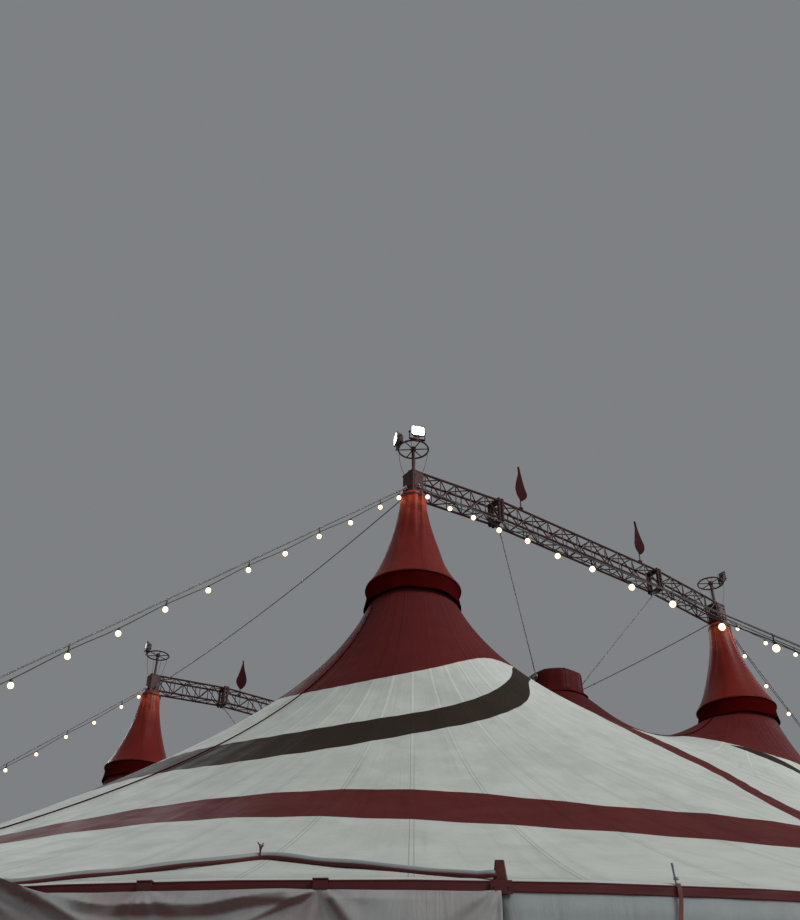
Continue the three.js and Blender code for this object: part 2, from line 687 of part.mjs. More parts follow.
for (const [side, sy] of SIDES) {
  for (const [hand, sx] of HANDS) {
    const spot = [sx * MAST_X, sy * MAST_Y];
    const corner = `${side}_${hand}`;
    place(`mast_${corner}`, mast(spot, LAMPS[corner].map(([, bearing]) => bearing)), RED_PAINT());
    for (const [letter, bearing] of LAMPS[corner]) {
      place(`floodlight_${corner}_${letter}`, floodlight(spot, bearing), BLACK_PAINT());
    }
    place(`roof_${corner}`, roofQuarter(sx, sy), CANVAS());
    place(`peak_cone_${corner}`, cone(spot), RED_VINYL());
    place(`mast_guy_side_${corner}`, guy(spot, [sx, 0]), STEEL());
    place(`mast_guy_end_${corner}`, guy(spot, [0, sy]), STEEL());
    place(`flag_${corner}`, flag(sx, sy), FLAG_CLOTH());
    place(`vent_cable_${corner}`, ventCable(sx, sy), STEEL());
    const inner = sx * ((1 - 2 * FRAME_AT) * MAST_X + GAP);
    place(`truss_${corner}`, truss(sx * (MAST_X - HEAD_HALF - GAP), inner, 2, sy, false), RED_PAINT());
  }
  const frameX = (1 - 2 * FRAME_AT) * MAST_X;
  place(`truss_${side}_middle`, truss(-frameX, frameX, 4, sy, true), RED_PAINT());
  place(`vent_cap_${side}`, vent(sy), RED_VINYL());
}

for (const [hand, sx] of HANDS) {
  place(`mast_tie_${hand}`, tie(sx), STEEL());
}

// The eave sectors in steps of half a bay: front, left, rear and right
const [doorStart, doorEnd] = DOOR_STEPS;
const doorMiddle = (doorStart + doorEnd) / 2;
const quarterTurn = BAYS / 2;
const SECTORS = [
  ["front", -doorStart, doorStart],
  ["left", doorEnd, 2 * quarterTurn - doorEnd],
  ["rear", 2 * quarterTurn - doorStart, 2 * quarterTurn + doorStart],
  ["right", 2 * quarterTurn + doorEnd, 4 * quarterTurn - doorEnd],
];
for (const [name, first, last] of SECTORS) {
  const reach = doorMiddle - doorStart;
  place(`side_frame_${name}`, sideFrame(first - reach, last + reach), RED_PAINT());
  place(`wall_${name}`, wall(first, last), WALL_CLOTH());
}
const DOORS = [
  ["front_left", doorStart],
  ["rear_left", 2 * quarterTurn - doorEnd],
  ["rear_right", 2 * quarterTurn + doorStart],
  ["front_right", 4 * quarterTurn - doorEnd],
];
for (const [name, first] of DOORS) {
  place(`door_curtain_${name}`, curtain(first, first + 2), WALL_CLOTH());
}

export default tent;
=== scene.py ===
import math

import bpy
import numpy as np
from mathutils import Matrix, Vector


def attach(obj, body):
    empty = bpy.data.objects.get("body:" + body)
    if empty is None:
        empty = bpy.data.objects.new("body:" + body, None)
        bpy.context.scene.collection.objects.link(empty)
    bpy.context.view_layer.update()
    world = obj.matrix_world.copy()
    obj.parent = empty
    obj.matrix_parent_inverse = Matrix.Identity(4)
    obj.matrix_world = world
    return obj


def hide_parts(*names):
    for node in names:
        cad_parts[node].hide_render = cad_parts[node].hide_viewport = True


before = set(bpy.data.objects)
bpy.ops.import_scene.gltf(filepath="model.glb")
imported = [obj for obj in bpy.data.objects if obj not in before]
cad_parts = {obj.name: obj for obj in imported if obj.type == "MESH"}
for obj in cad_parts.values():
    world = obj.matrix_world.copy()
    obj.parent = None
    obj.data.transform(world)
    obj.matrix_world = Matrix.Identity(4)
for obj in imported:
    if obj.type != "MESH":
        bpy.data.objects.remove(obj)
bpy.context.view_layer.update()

# Sizes of the tent, in metres, on the ground at the centre of the ring; X runs along the trusses

MAST_X = 4.35
MAST_Y = 5.75
EAVE_RADIUS = 15.3
EAVE_Z = 3.3
BAND_DEPTH = 0.085
RING_RADIUS = 0.74
RING_Z = 9.7
ROOF_POWER = 1.07
RING_FADE = 2.5
VENT_LIFT = 0.2
VENT_SOFTNESS = 0.35
SIDE_LIFT = 0.4
SIDE_SOFTNESS = 2.0
VENT_Y = 4.7
BAY_DEG = 360 / 26
GORE_DEG = BAY_DEG / 3
HEAD_HALF = 0.14
HEAD_BOTTOM = 12.01
TRUSS_TOP = 12.5
TRUSS_DROP = 0.41
TRUSS_SIDE = 0.145
TRUSS_CAMBER = 0.18
JOINT_X = 2.2968
WHEEL_Z = 13.1
WHEEL_RADIUS = 0.29
PIVOT_Z = 13.29
GUY_HEAD_Z = 12.15
GUY_RUN = {"side": 13.9, "end": 14.1}
FESTOON_DROP = 0.09
TIE_SAG = 0.2

CORNERS = {"front_left": (-1, -1), "front_right": (1, -1), "rear_left": (-1, 1), "rear_right": (1, 1)}
ENDS = {"front": -1, "rear": 1}
HANDS = {"left": -1, "right": 1}
HALF_BAY = BAY_DEG / 2
DOORS = {name: step * HALF_BAY for name, step in
         (("front_left", 6), ("rear_left", 20), ("rear_right", 32), ("front_right", 46))}
SHEET_WIDTH = {"roof": 15.6, "cone": 5.3, "skirt": 5.2, "collar": 4.0, "flag": 0.3, "wall": 22.0,
               "curtain": 4.4}
ROOF_THICK = 0.005
VINYL_THICK = 0.004
WALL_THICK = 0.003
FLAG_THICK = 0.0012
UP = np.array([0, 0, 1.0])
chance = np.random.default_rng(7)


# Small sums

def turns(count):
    """Even angles round a circle, in radians."""
    return np.arange(count) * 2 * np.pi / count


def spokes(count, start=0.0):
    """Level directions at even angles, the first at a given one."""
    angles = [k * 2 * math.pi / count + start for k in range(count)]
    return [np.array([math.cos(turn), math.sin(turn), 0]) for turn in angles]


def shares(count):
    """Even shares from 0 to 1, a row each."""
    return np.linspace(0, 1, count)[:, None]


def clamp(value):
    return np.clip(value, 0, 1)


def ramp(value, width):
    """A share that grows from 0 to 1 as a value grows from 0 to a width."""
    return clamp(value / width)


def eased(value):
    """A share with a soft start and a soft end: three squares less two cubes."""
    return value * value * (3 - 2 * value)


def away_from(turn, centre):
    """The angle from a centre the short way round."""
    return np.angle(np.exp(1j * (turn - centre)))


def mast_foot(sx, sy):
    return np.array([sx * MAST_X, sy * MAST_Y, 0])


# Roof height

def charge_lift(x, y, spot, softness):
    """Lift by one point: half the log of the soft squared distance to its image in the eave circle
    over that to the point, which is zero all round the eave."""
    apart = spot[0] ** 2 + spot[1] ** 2
    scale = EAVE_RADIUS ** 2 / apart
    image = ((x - spot[0] * scale) ** 2 + (y - spot[1] * scale) ** 2) / scale
    near = (x - spot[0]) ** 2 + (y - spot[1]) ** 2
    return 0.5 * np.log((image + softness ** 2) / (near + softness ** 2))


def total_lift(x, y):
    """The sum of the lifts of four masts, two vents and two side ridges."""
    total = 0
    for sx, sy in CORNERS.values():
        total = total + charge_lift(x, y, (sx * MAST_X, sy * MAST_Y), 0)
    for s in (-1, 1):
        total = total + VENT_LIFT * charge_lift(x, y, (0, s * VENT_Y), VENT_SOFTNESS)
        total = total + SIDE_LIFT * charge_lift(x, y, (s * MAST_X, 0), SIDE_SOFTNESS)
    return total


RING_TURNS = turns(24)
RING_LIFT = total_lift(MAST_X + RING_RADIUS * np.cos(RING_TURNS),
                       MAST_Y + RING_RADIUS * np.sin(RING_TURNS)).mean()


def lifted(x, y):
    return EAVE_Z + (RING_Z - EAVE_Z) * (np.maximum(total_lift(x, y), 0) / RING_LIFT) ** ROOF_POWER


def roof_height(x, y):
    """The lifted height, levelled round the nearest mast so that the ring edge lies at one height."""
    mx = np.where(x < 0, -MAST_X, MAST_X)
    my = np.where(y < 0, -MAST_Y, MAST_Y)
    share = RING_RADIUS / np.maximum(np.hypot(x - mx, y - my), 1e-6)
    level = RING_Z - lifted(mx + (x - mx) * share, my + (y - my) * share)
    return lifted(x, y) + level * share ** RING_FADE


def on_compass(degrees, radius):
    """A point of the tent's compass, on which 0 faces the front (-Y) and angles grow to the left (-X)."""
    turn = np.radians(degrees)
    return -radius * np.sin(turn), -radius * np.cos(turn)


# Mesh helpers. A shell is its points and a list of (faces, face corner UVs, paint number).

def unit(v):
    return v / np.maximum(np.linalg.norm(v, axis=-1, keepdims=True), 1e-12)


def smooth_line(points, count):
    """A smooth line through points: each stretch is a cubic whose end slopes are half the step
    between the neighbours on either side."""
    p = np.asarray(points, float)
    slope = np.gradient(p, axis=0)
    at = np.linspace(0, len(p) - 1, count)
    i = np.minimum(at.astype(int), len(p) - 2)
    t = (at - i)[:, None]
    a = 2 * t ** 3 - 3 * t ** 2 + 1
    b = t ** 3 - 2 * t ** 2 + t
    c = -2 * t ** 3 + 3 * t ** 2
    d = t ** 3 - t ** 2
    return a * p[i] + b * slope[i] + c * p[i + 1] + d * slope[i + 1]


def surface(points, around=False, along=False, uv=None, paint=0):
    """Quads between the rows and columns of a grid of points. Around joins the last column to the
    first, along the last row to the first; without uv, the UVs are metres across and down."""
    rows, cols = points.shape[:2]
    i, j = np.meshgrid(np.arange(rows if along else rows - 1), np.arange(cols if around else cols - 1),
                       indexing="ij")
    ways = ((0, 0), (0, 1), (1, 1), (1, 0))
    faces = np.stack([((i + a) % rows) * cols + (j + b) % cols for a, b in ways], -1).reshape(-1, 4)
    if uv is None:
        across = np.linalg.norm(np.roll(points, -1, 1) - points, axis=-1).mean(0)
        down = np.linalg.norm(np.roll(points, -1, 0) - points, axis=-1).mean(1)
        u = np.concatenate([[0], np.cumsum(across)])
        v = np.concatenate([[0], np.cumsum(down)])
        uv = np.stack(np.meshgrid(u, v), -1)
    corners = np.stack([uv[i + a, j + b] for a, b in ways], -2).reshape(-1, 4, 2)
    return points.reshape(-1, 3), [(faces, corners, paint)]


def lid(count, start, paint=0):
    """One many-sided face over a ring of points, with its UVs on a small circle."""
    return np.arange(start, start + count)[None], circle(0.05, count)[None], paint


def under_lid(count, start, paint=0):
    """The same face turned over."""
    face, uv, _ = lid(count, start, paint)
    return face[:, ::-1], uv[:, ::-1], paint


def turned_out(shell):
    """A closed shell with its faces outward: all faces are reversed if its signed volume is negative."""
    points, groups = shell
    volume = 0.0
    for faces, _, _ in groups:
        p = points[faces]
        for k in range(1, faces.shape[1] - 1):
            volume += np.einsum("ij,ij->", p[:, 0], np.cross(p[:, k], p[:, k + 1]))
    if volume < 0:
        groups = [(f[:, ::-1], c[:, ::-1], m) for f, c, m in groups]
    return points, groups


def carried(profile, path, scale=None, closed=False, paint=0, reference=None, uv_turns=False):
    """A closed profile of (side, up) points carried square to a path, with a lid on both ends."""
    path = np.asarray(path, float)
    profile = np.asarray(profile, float)
    ahead = unit(np.roll(path, -1, 0) - np.roll(path, 1, 0)) if closed else unit(np.gradient(path, axis=0))
    if reference is None:
        reference = np.eye(3)[np.abs(ahead).max(0).argmin()]
    side = unit(np.cross(ahead, reference))
    up = np.cross(side, ahead)
    ring = profile[None] * (1 if scale is None else np.asarray(scale, float)[:, None, None])
    points = path[:, None] + side[:, None] * ring[..., :1] + up[:, None] * ring[..., 1:]
    uv = None
    if uv_turns:
        length = np.concatenate([[0], np.cumsum(np.linalg.norm(np.diff(path, axis=0), axis=1))])
        if closed:
            length = np.append(length, length[-1] + np.linalg.norm(path[0] - path[-1]))
        uv = np.stack(np.meshgrid(np.linspace(0, 1, len(profile) + 1), length), -1)
    flat, groups = surface(points, around=True, along=closed, uv=uv, paint=paint)
    if not closed:
        n = len(profile)
        groups = groups + [under_lid(n, 0, paint), lid(n, len(flat) - n, paint)]
    return turned_out((flat, groups))


def hoop(profile, radius, z, sides, spot=(0, 0, 0), paint=0):
    """A level ring about a mast: a profile carried round a circle at one height."""
    turn = turns(sides)
    path = np.stack([radius * np.cos(turn), radius * np.sin(turn), np.full(sides, z)], -1) + spot
    return carried(profile, path, closed=True, reference=UP, paint=paint)


def moved(shell, step):
    return shell[0] + step, shell[1]


def circle(radius, sides):
    turn = turns(sides)
    return np.stack([np.cos(turn), np.sin(turn)], -1) * radius


def plate_edge(width, height, chamfer):
    """A rectangle with its corners cut off."""
    w, h, c = width / 2, height / 2, chamfer
    return np.array([(w, h - c), (w - c, h), (c - w, h), (-w, h - c), (-w, c - h), (c - w, -h), (w - c, -h),
                     (w, c - h)])


def spanned(middle, step, *sizes, **more):
    """A bar that reaches a step either way from its middle."""
    return bar(middle - step, middle + step, *sizes, **more)


def rod(a, b, radius, sides=12, paint=0):
    return carried(circle(radius, sides), [a, b], paint=paint, uv_turns=True)


def bar(a, b, width, height=None, chamfer=None, paint=0, reference=None):
    """A chamfered rectangular bar; width is across, height along the reference direction."""
    height = height or width
    chamfer = chamfer or 0.12 * min(width, height)
    return carried(plate_edge(width, height, chamfer), [a, b], paint=paint, reference=reference)


def turned(profile, sides=24, paint=0):
    """A profile of (radius, height) points turned about Z; an end at zero radius becomes a pole."""
    profile = np.asarray(profile, float)
    low, high = profile[0][0] < 1e-9, profile[-1][0] < 1e-9
    body = profile[1 if low else 0:len(profile) - (1 if high else 0)]
    turn = turns(sides)
    points = np.stack([body[:, :1] * np.cos(turn), body[:, :1] * np.sin(turn),
                       np.repeat(body[:, 1:], sides, 1)], -1)
    flat, groups = surface(points, around=True, paint=paint)
    j = np.arange(sides)
    blank = np.tile(np.array([[0, 0], [0.01, 0], [0.005, 0.01]]), (sides, 1, 1))
    for pole, row, point in ((low, 0, profile[0]), (high, len(body) - 1, profile[-1])):
        if not pole:
            continue
        tip = len(flat)
        flat = np.vstack([flat, [[0, 0, point[1]]]])
        a, b = row * sides + j, row * sides + (j + 1) % sides
        fan = np.stack([b, a, np.full(sides, tip)] if row == 0 else [a, b, np.full(sides, tip)], -1)
        groups = groups + [(fan, blank, paint)]
    return turned_out((flat, groups))


def aimed(shell, place, ahead=(0, 0, 1)):
    """A shell moved to a place with its Z axis turned to a direction."""
    z = unit(np.asarray(ahead, float))
    hint = np.array([0, 1.0, 0] if abs(z[0]) > 0.99 else [1.0, 0, 0])
    y = unit(np.cross(z, hint))
    x = np.cross(y, z)
    return shell[0] @ np.stack([x, y, z]) + np.asarray(place, float), shell[1]


def together(shells):
    """Several shells as one."""
    points, groups, start = [], [], 0
    for p, g in shells:
        points.append(p)
        groups += [(f + start, c, m) for f, c, m in g]
        start += len(p)
    return np.vstack(points), groups


def to_corner(shell, sx, sy):
    """The roof's quarter reflected to a corner, with its faces up: they point down at first, and
    only a single reflection turns them over."""
    points, groups = shell
    if sx * sy > 0:
        groups = [(f[:, ::-1], c[:, ::-1], m) for f, c, m in groups]
    return points * np.array([sx, sy, 1]), groups


def faced(thing, upward=False, centre=(0, 0)):
    """Turns a sheet's faces up, or else away from an upright line through a centre."""
    count = len(thing.data.polygons)
    normal, middle = np.empty(3 * count), np.empty(3 * count)
    thing.data.polygons.foreach_get("normal", normal)
    thing.data.polygons.foreach_get("center", middle)
    normal, middle = normal.reshape(-1, 3), middle.reshape(-1, 3)
    facing = normal[:, 2] if upward else (normal[:, :2] * (middle[:, :2] - centre)).sum(1)
    if facing.sum() < 0:
        thing.data.flip_normals()
    return thing


def piece(name, shells, paints, body="tent", stands_for=None, sharp=None, thickness=0,
          attributes=None):
    """A finished piece from its shells. Sharp is the angle in degrees past which edges are creased,
    thickness gives a sheet its own, inward."""
    points, groups = together(shells if isinstance(shells, list) else [shells])
    mesh = bpy.data.meshes.new(name)
    mesh.vertices.add(len(points))
    mesh.vertices.foreach_set("co", points.astype(np.float32).ravel())
    loops = np.concatenate([f.ravel() for f, _, _ in groups])
    sizes = np.concatenate([np.full(len(f), f.shape[1]) for f, _, _ in groups])
    mesh.loops.add(len(loops))
    mesh.loops.foreach_set("vertex_index", loops.astype(np.int32))
    mesh.polygons.add(len(sizes))
    mesh.polygons.foreach_set("loop_start", np.concatenate([[0], np.cumsum(sizes)[:-1]]).astype(np.int32))
    paint_numbers = np.concatenate([np.full(len(f), m) for f, _, m in groups])
    mesh.polygons.foreach_set("material_index", paint_numbers.astype(np.int32))
    mesh.update(calc_edges=True)
    mesh.uv_layers.new(name="UVMap").data.foreach_set(
        "uv", np.concatenate([c.reshape(-1, 2) for _, c, _ in groups]).astype(np.float32).ravel())
    for key, values in (attributes or {}).items():
        kept = mesh.attributes.new(key, "FLOAT", "POINT").data
        kept.foreach_set("value", values.astype(np.float32).ravel())
    mesh.polygons.foreach_set("use_smooth", np.ones(len(sizes), bool))
    if sharp:
        mesh.set_sharp_from_angle(angle=math.radians(sharp))
    for paint in paints:
        mesh.materials.append(paint)
    thing = bpy.data.objects.new(name, mesh)
    bpy.context.scene.collection.objects.link(thing)
    if thickness:
        wall = thing.modifiers.new("Cloth", "SOLIDIFY")
        wall.thickness = thickness
        wall.offset = -1
        wall.use_even_offset = False
    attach(thing, body)
    if stands_for:
        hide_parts(stands_for)
    return thing


# Node helpers

class Layout:
    """Short calls for laying out a node tree."""

    def __init__(self, tree):
        self.tree = tree

    def feed(self, socket, value):
        if isinstance(value, bpy.types.NodeSocket):
            self.tree.links.new(value, socket)
        else:
            socket.default_value = value

    def add(self, kind, inputs=None, **settings):
        node = self.tree.nodes.new(kind)
        for key, value in settings.items():
            setattr(node, key, value)
        for key, value in (inputs or {}).items():
            self.feed(node.inputs[key], value)
        return node

    def math(self, operation, *values):
        node = self.add("ShaderNodeMath", operation=operation)
        for socket, value in zip(node.inputs, values):
            self.feed(socket, value)
        return node.outputs[0]

    def times(self, first, *others):
        for other in others:
            first = self.math("MULTIPLY", first, other)
        return first

    def plus(self, a, b):
        return self.math("ADD", a, b)

    def minus(self, a, b):
        return self.math("SUBTRACT", a, b)

    def rest(self, share):
        return self.math("SUBTRACT", 1.0, share)

    def length(self, a, b):
        """The length of a step with two parts at right angles."""
        return self.math("SQRT", self.plus(self.math("POWER", a, 2.0), self.math("POWER", b, 2.0)))

    def ribs(self, value):
        """Rows of half waves: the size of the sine."""
        return self.math("ABSOLUTE", self.math("SINE", value))

    def split(self, vector):
        return self.add("ShaderNodeSeparateXYZ", {0: vector}).outputs

    def stored(self, name):
        """A number kept on the mesh's points."""
        return self.add("ShaderNodeAttribute", attribute_name=name).outputs["Fac"]

    def stained(self, colour, *stains):
        """A colour with stains over it: each is the mask of where it lies, its strength and its colour."""
        for where, strength, stain in stains:
            colour = self.blend(self.times(where, strength), colour, stain)
        return colour

    def largest(self, first, *others):
        for other in others:
            first = self.math("MAXIMUM", first, other)
        return first

    def scaled(self, vector, factors):
        return self.add("ShaderNodeVectorMath", {0: vector, 1: factors},
                        operation="MULTIPLY").outputs["Vector"]

    def span(self, value, low, high, to_low=0.0, to_high=1.0, smooth=True):
        node = self.add("ShaderNodeMapRange", interpolation_type="SMOOTHSTEP" if smooth else "LINEAR")
        for socket, part in zip(node.inputs, (value, low, high, to_low, to_high)):
            self.feed(socket, part)
        return node.outputs[0]

    def blend(self, share, a, b):
        node = self.add("ShaderNodeMix", data_type="RGBA")
        for index, value in ((0, share), (6, a), (7, b)):
            self.feed(node.inputs[index], value)
        return node.outputs[2]

    def noise(self, vector, scale, detail=3.0, roughness=0.55, distortion=0.0):
        node = self.add("ShaderNodeTexNoise", {"Vector": vector, "Scale": scale, "Detail": detail,
                                               "Roughness": roughness, "Distortion": distortion})
        return node.outputs[0]

    def curve(self, value, points):
        """A curve through (input, output) points, both from 0 to 1."""
        node = self.add("ShaderNodeFloatCurve", {"Value": value})
        line = node.mapping.curves[0]
        for _ in range(len(points) - 2):
            line.points.new(0.5, 0.5)
        for point, (x, y) in zip(line.points, sorted(points)):
            point.location = (x, y)
            point.handle_type = "AUTO"
        node.mapping.update()
        return node.outputs[0]

    def effect(self, group, **inputs):
        node = self.add("ShaderNodeGroup", node_tree=group)
        for key, value in inputs.items():
            self.feed(node.inputs[key.replace("_", " ")], value)
        return node.outputs

    def bump(self, height, strength, distance, normal=None):
        inputs = {"Height": height, "Strength": strength, "Distance": distance}
        if normal is not None:
            inputs["Normal"] = normal
        return self.add("ShaderNodeBump", inputs).outputs[0]


def shade(red, green, blue):
    return (red, green, blue, 1.0)


def new_effect(name, inputs, outputs, lay_out):
    """A shader node group built once; each material places it with its own values."""
    tree = bpy.data.node_groups.new(name, "ShaderNodeTree")
    kinds = {"value": "NodeSocketFloat", "vector": "NodeSocketVector"}
    for label, kind, value in inputs:
        socket = tree.interface.new_socket(label, in_out="INPUT", socket_type=kinds[kind])
        if value is not None:
            socket.default_value = value
    for label, kind in outputs:
        tree.interface.new_socket(label, in_out="OUTPUT", socket_type=kinds[kind])
    layout = Layout(tree)
    source = layout.add("NodeGroupInput")
    sink = layout.add("NodeGroupOutput")
    for label, socket in lay_out(layout, source.outputs).items():
        tree.links.new(socket, sink.inputs[label])
    return tree


def new_paint(name, lay_out, **uniform):
    """A material: lay_out feeds the shader's own sockets, and uniform values are set on them."""
    material = bpy.data.materials.new(name)
    material.use_nodes = True
    tree = material.node_tree
    shader = tree.nodes["Principled BSDF"]
    for key, value in uniform.items():
        shader.inputs[key.replace("_", " ")].default_value = value
    layout = Layout(tree)
    for key, value in lay_out(layout).items():
        layout.feed(shader.inputs[key.replace("_", " ")], value)
    return material


# Shared effects

def lay_weave(n, source):
    """Warp and weft ridges: the larger of two rows of half waves at right angles."""
    parts = n.split(source["Vector"])
    step = n.times(source["Threads"], math.pi)
    warp, weft = (n.ribs(n.times(parts[k], step)) for k in (0, 1))
    fibre = n.noise(source["Vector"], 900.0, 2.0)
    height = n.plus(n.math("MAXIMUM", warp, weft), n.times(fibre, 0.35))
    return {"Height": height, "Fibre": fibre}


WEAVE = new_effect("Weave", [("Vector", "vector", None), ("Threads", "value", 400.0)],
                   [("Height", "value"), ("Fibre", "value")], lay_weave)


def lay_weather(n, source):
    """Blotches of dirt, streaks that run down the cloth, and fine grit."""
    where, run = source["Vector"], source["Run"]
    wide = n.noise(where, 0.45, 6.0, 0.62, 0.4)
    blotch = n.span(wide, 0.42, 0.72)
    streak = n.span(n.noise(n.scaled(run, (5.0, 0.32, 1.0)), 1.0, 5.0, 0.6), 0.5, 0.78)
    grit = n.span(n.noise(where, 38.0, 5.0, 0.7), 0.55, 0.8)
    return {"Blotch": blotch, "Streak": streak, "Grit": grit}


WEATHER = new_effect("Weather", [("Vector", "vector", None), ("Run", "vector", None)],
                     [("Blotch", "value"), ("Streak", "value"), ("Grit", "value")], lay_weather)


def lay_seam(n, source):
    """A welded tape of a given half width: full inside, with a thin line along each edge."""
    distance = n.math("ABSOLUTE", source["Distance"])
    half = source["Half Width"]
    tape = n.span(n.minus(distance, half), -0.003, 0.003, 1.0, 0.0)
    line = n.span(n.math("ABSOLUTE", n.minus(distance, half)), 0.002, 0.008, 1.0, 0.0)
    return {"Tape": tape, "Line": line}


SEAM = new_effect("Seam", [("Distance", "value", 0.0), ("Half Width", "value", 0.02)],
                  [("Tape", "value"), ("Line", "value")], lay_seam)


def lay_worn_paint(n, source):
    """Chips through the paint where a coarse and a fine pattern meet, grime in broad patches, and a
    rippled coat."""
    where = source["Vector"]
    coarse = n.noise(where, 7.0, 5.0, 0.65)
    fine = n.noise(where, 70.0, 4.0, 0.7)
    both = n.plus(n.times(coarse, 0.55), n.times(fine, 0.45))
    edge = n.minus(0.68, n.times(source["Wear"], 0.14))
    chips = n.span(both, edge, n.plus(edge, 0.02))
    grime = n.span(n.noise(where, 2.3, 6.0, 0.6), 0.4, 0.7)
    return {"Chips": chips, "Grime": grime, "Ripple": n.noise(where, 160.0, 2.0)}


WORN_PAINT = new_effect("Worn paint", [("Vector", "vector", None), ("Wear", "value", 0.5)],
                        [("Chips", "value"), ("Grime", "value"), ("Ripple", "value")], lay_worn_paint)


def lay_strands(n, source):
    """Strands laid round a rope: a row of half waves along the length plus the turn round it."""
    parts = n.split(source["Turns"])
    along = n.times(parts[1], source["Lay"])
    wave = n.ribs(n.times(n.plus(n.times(parts[0], 6.0), along), math.pi))
    return {"Height": wave, "Groove": n.span(wave, 0.0, 0.45, 1.0, 0.0)}


STRANDS = new_effect("Strands", [("Turns", "vector", None), ("Lay", "value", 40.0)],
                     [("Height", "value"), ("Groove", "value")], lay_strands)


# Outlines of the painted stripes, as pairs of an angle in degrees and a reach in metres. Angles go round
# the mast from straight out (0) toward the tent's middle (+), or round the tent from its front plane to
# its side plane (0 to 90). The strip's two outlines pair a distance along the tent with one across it.

FOOT_EDGE = [(-180, 2.3), (-150, 2.34), (-110, 2.16), (-74, 1.98), (-50, 1.82), (-28, 1.68), (-2, 1.53),
             (14, 1.50), (27, 1.55), (36, 1.62), (46, 1.675), (57, 1.735), (70, 1.82), (90, 1.98),
             (125, 2.2), (155, 2.3), (180, 2.3)]
SWATHE_TOP = [(-180, 7.6), (-165, 7.25), (-153, 6.44), (-140, 5.5), (-125, 4.45), (-112, 3.75),
              (-100, 3.46), (-86, 3.27), (-71, 3.08), (-57, 2.87), (-45, 2.71), (-32, 2.55), (-19, 2.36),
              (-6, 2.16), (8, 1.96), (18, 1.84), (25, 1.76), (31, 1.70), (40, 1.665), (50, 1.685),
              (58, 1.76), (66, 1.90), (78, 2.1), (180, 2.6)]
SWATHE_FOOT = [(-180, 8.0), (-160, 7.95), (-145, 7.0), (-133, 6.2), (-120, 5.3), (-110, 4.72), (-100, 4.34),
               (-88, 4.09), (-74, 3.91), (-64, 3.72), (-55, 3.55), (-43, 3.28), (-32, 3.06), (-20, 2.85),
               (-7, 2.61), (4, 2.42), (12, 2.27), (18, 2.15), (24, 2.04), (31, 1.96), (40, 1.93),
               (49, 1.91), (58, 1.88), (75, 1.82), (180, 1.8)]
BAND_TOP = [(0, 12.2), (14, 12.2), (21, 12.25), (27, 12.36), (31, 12.27), (36, 12.09), (42, 12.0),
            (49, 12.03), (55, 12.2), (62, 12.42), (75, 12.5), (90, 12.5)]
BAND_FOOT = [(0, 13.3), (14, 13.3), (24, 13.35), (31, 13.27), (37, 13.08), (42, 12.89), (47, 12.8),
             (52, 12.83), (58, 13.0), (66, 13.2), (78, 13.3), (90, 13.3)]
STRIP_OUTER = [(4.0, 1.6), (5.5, 1.6), (6.6, 1.8), (7.6, 2.0), (8.6, 2.04), (9.3, 2.06), (9.7, 2.15),
               (10.2, 2.43), (10.8, 2.80), (11.2, 3.02), (11.7, 3.4), (12.6, 4.4), (15.5, 9.0)]
STRIP_INNER = [(4.0, -1.6), (5.0, -1.2), (6.0, -0.4), (6.8, 0.2), (7.6, 0.68), (8.3, 1.02), (9.0, 1.27),
               (9.7, 1.67), (10.3, 2.08), (11.0, 2.45), (12.0, 3.1), (13.5, 4.2), (15.5, 6.0)]
STRIP_SPAN = (4.0, 15.5)
CROWN_REACH = 4.6
COLLAR_REACH = 1.75


def lay_stripes(n, source):
    """Masks of the red foot, the red band with its strip up to the vent, and the dark swathe, and the
    distance from the nearest mast. The strip leans the same way round at the front and the rear."""
    x, y, _ = n.split(source["Vector"])
    u, v = n.math("ABSOLUTE", x), n.math("ABSOLUTE", y)
    aside = n.times(x, n.math("SIGN", y))
    du, dv = n.minus(u, MAST_X), n.minus(v, MAST_Y)
    reach, out = n.length(du, dv), n.length(u, v)
    turn = n.plus(n.math("DIVIDE", n.math("ARCTAN2", n.times(du, -1.0), dv), 2 * math.pi), 0.5)
    angle = n.math("DIVIDE", n.math("ARCTAN2", u, v), math.pi / 2)
    height = n.math("DIVIDE", n.minus(v, STRIP_SPAN[0]), STRIP_SPAN[1] - STRIP_SPAN[0])

    def line(value, points, span, low, high):
        """An outline as a curve node: the points are scaled to 0 to 1, and the result back to metres."""
        scaled = [((x - span[0]) / (span[1] - span[0]), (y - low) / (high - low)) for x, y in points]
        return n.math("MULTIPLY_ADD", n.curve(value, scaled), high - low, low)

    def round_mast(points):
        return line(turn, points, (-180, 180), 0.0, 8.0)

    def round_tent(points):
        return line(angle, points, (0, 90), 12.0, 15.0)

    def along_strip(points):
        return line(height, points, STRIP_SPAN, -3.0, 9.0)

    def inside(amount):
        return n.span(amount, -0.004, 0.004)

    foot = inside(n.minus(round_mast(FOOT_EDGE), reach))
    above, below = n.minus(reach, round_mast(SWATHE_TOP)), n.minus(round_mast(SWATHE_FOOT), reach)
    swathe = n.times(inside(n.math("MINIMUM", above, below)), n.rest(foot))
    over = n.minus(round_tent(BAND_TOP), out)
    strip_side = n.math("SMOOTH_MIN", n.minus(aside, along_strip(STRIP_OUTER)), over, 0.45)
    strip_middle = n.math("SMOOTH_MIN", n.minus(along_strip(STRIP_INNER), aside), over, 0.5)
    crown = n.math("MINIMUM", n.minus(CROWN_REACH, v), over)
    beyond = inside(n.minus(out, round_tent(BAND_FOOT)))
    plain = n.largest(inside(n.largest(strip_side, strip_middle, crown)), beyond)
    ring = inside(n.minus(COLLAR_REACH - 0.02, n.length(u, n.minus(v, VENT_Y))))
    return {"Red": n.largest(n.rest(plain), foot, ring), "Dark": swathe, "Reach": reach}


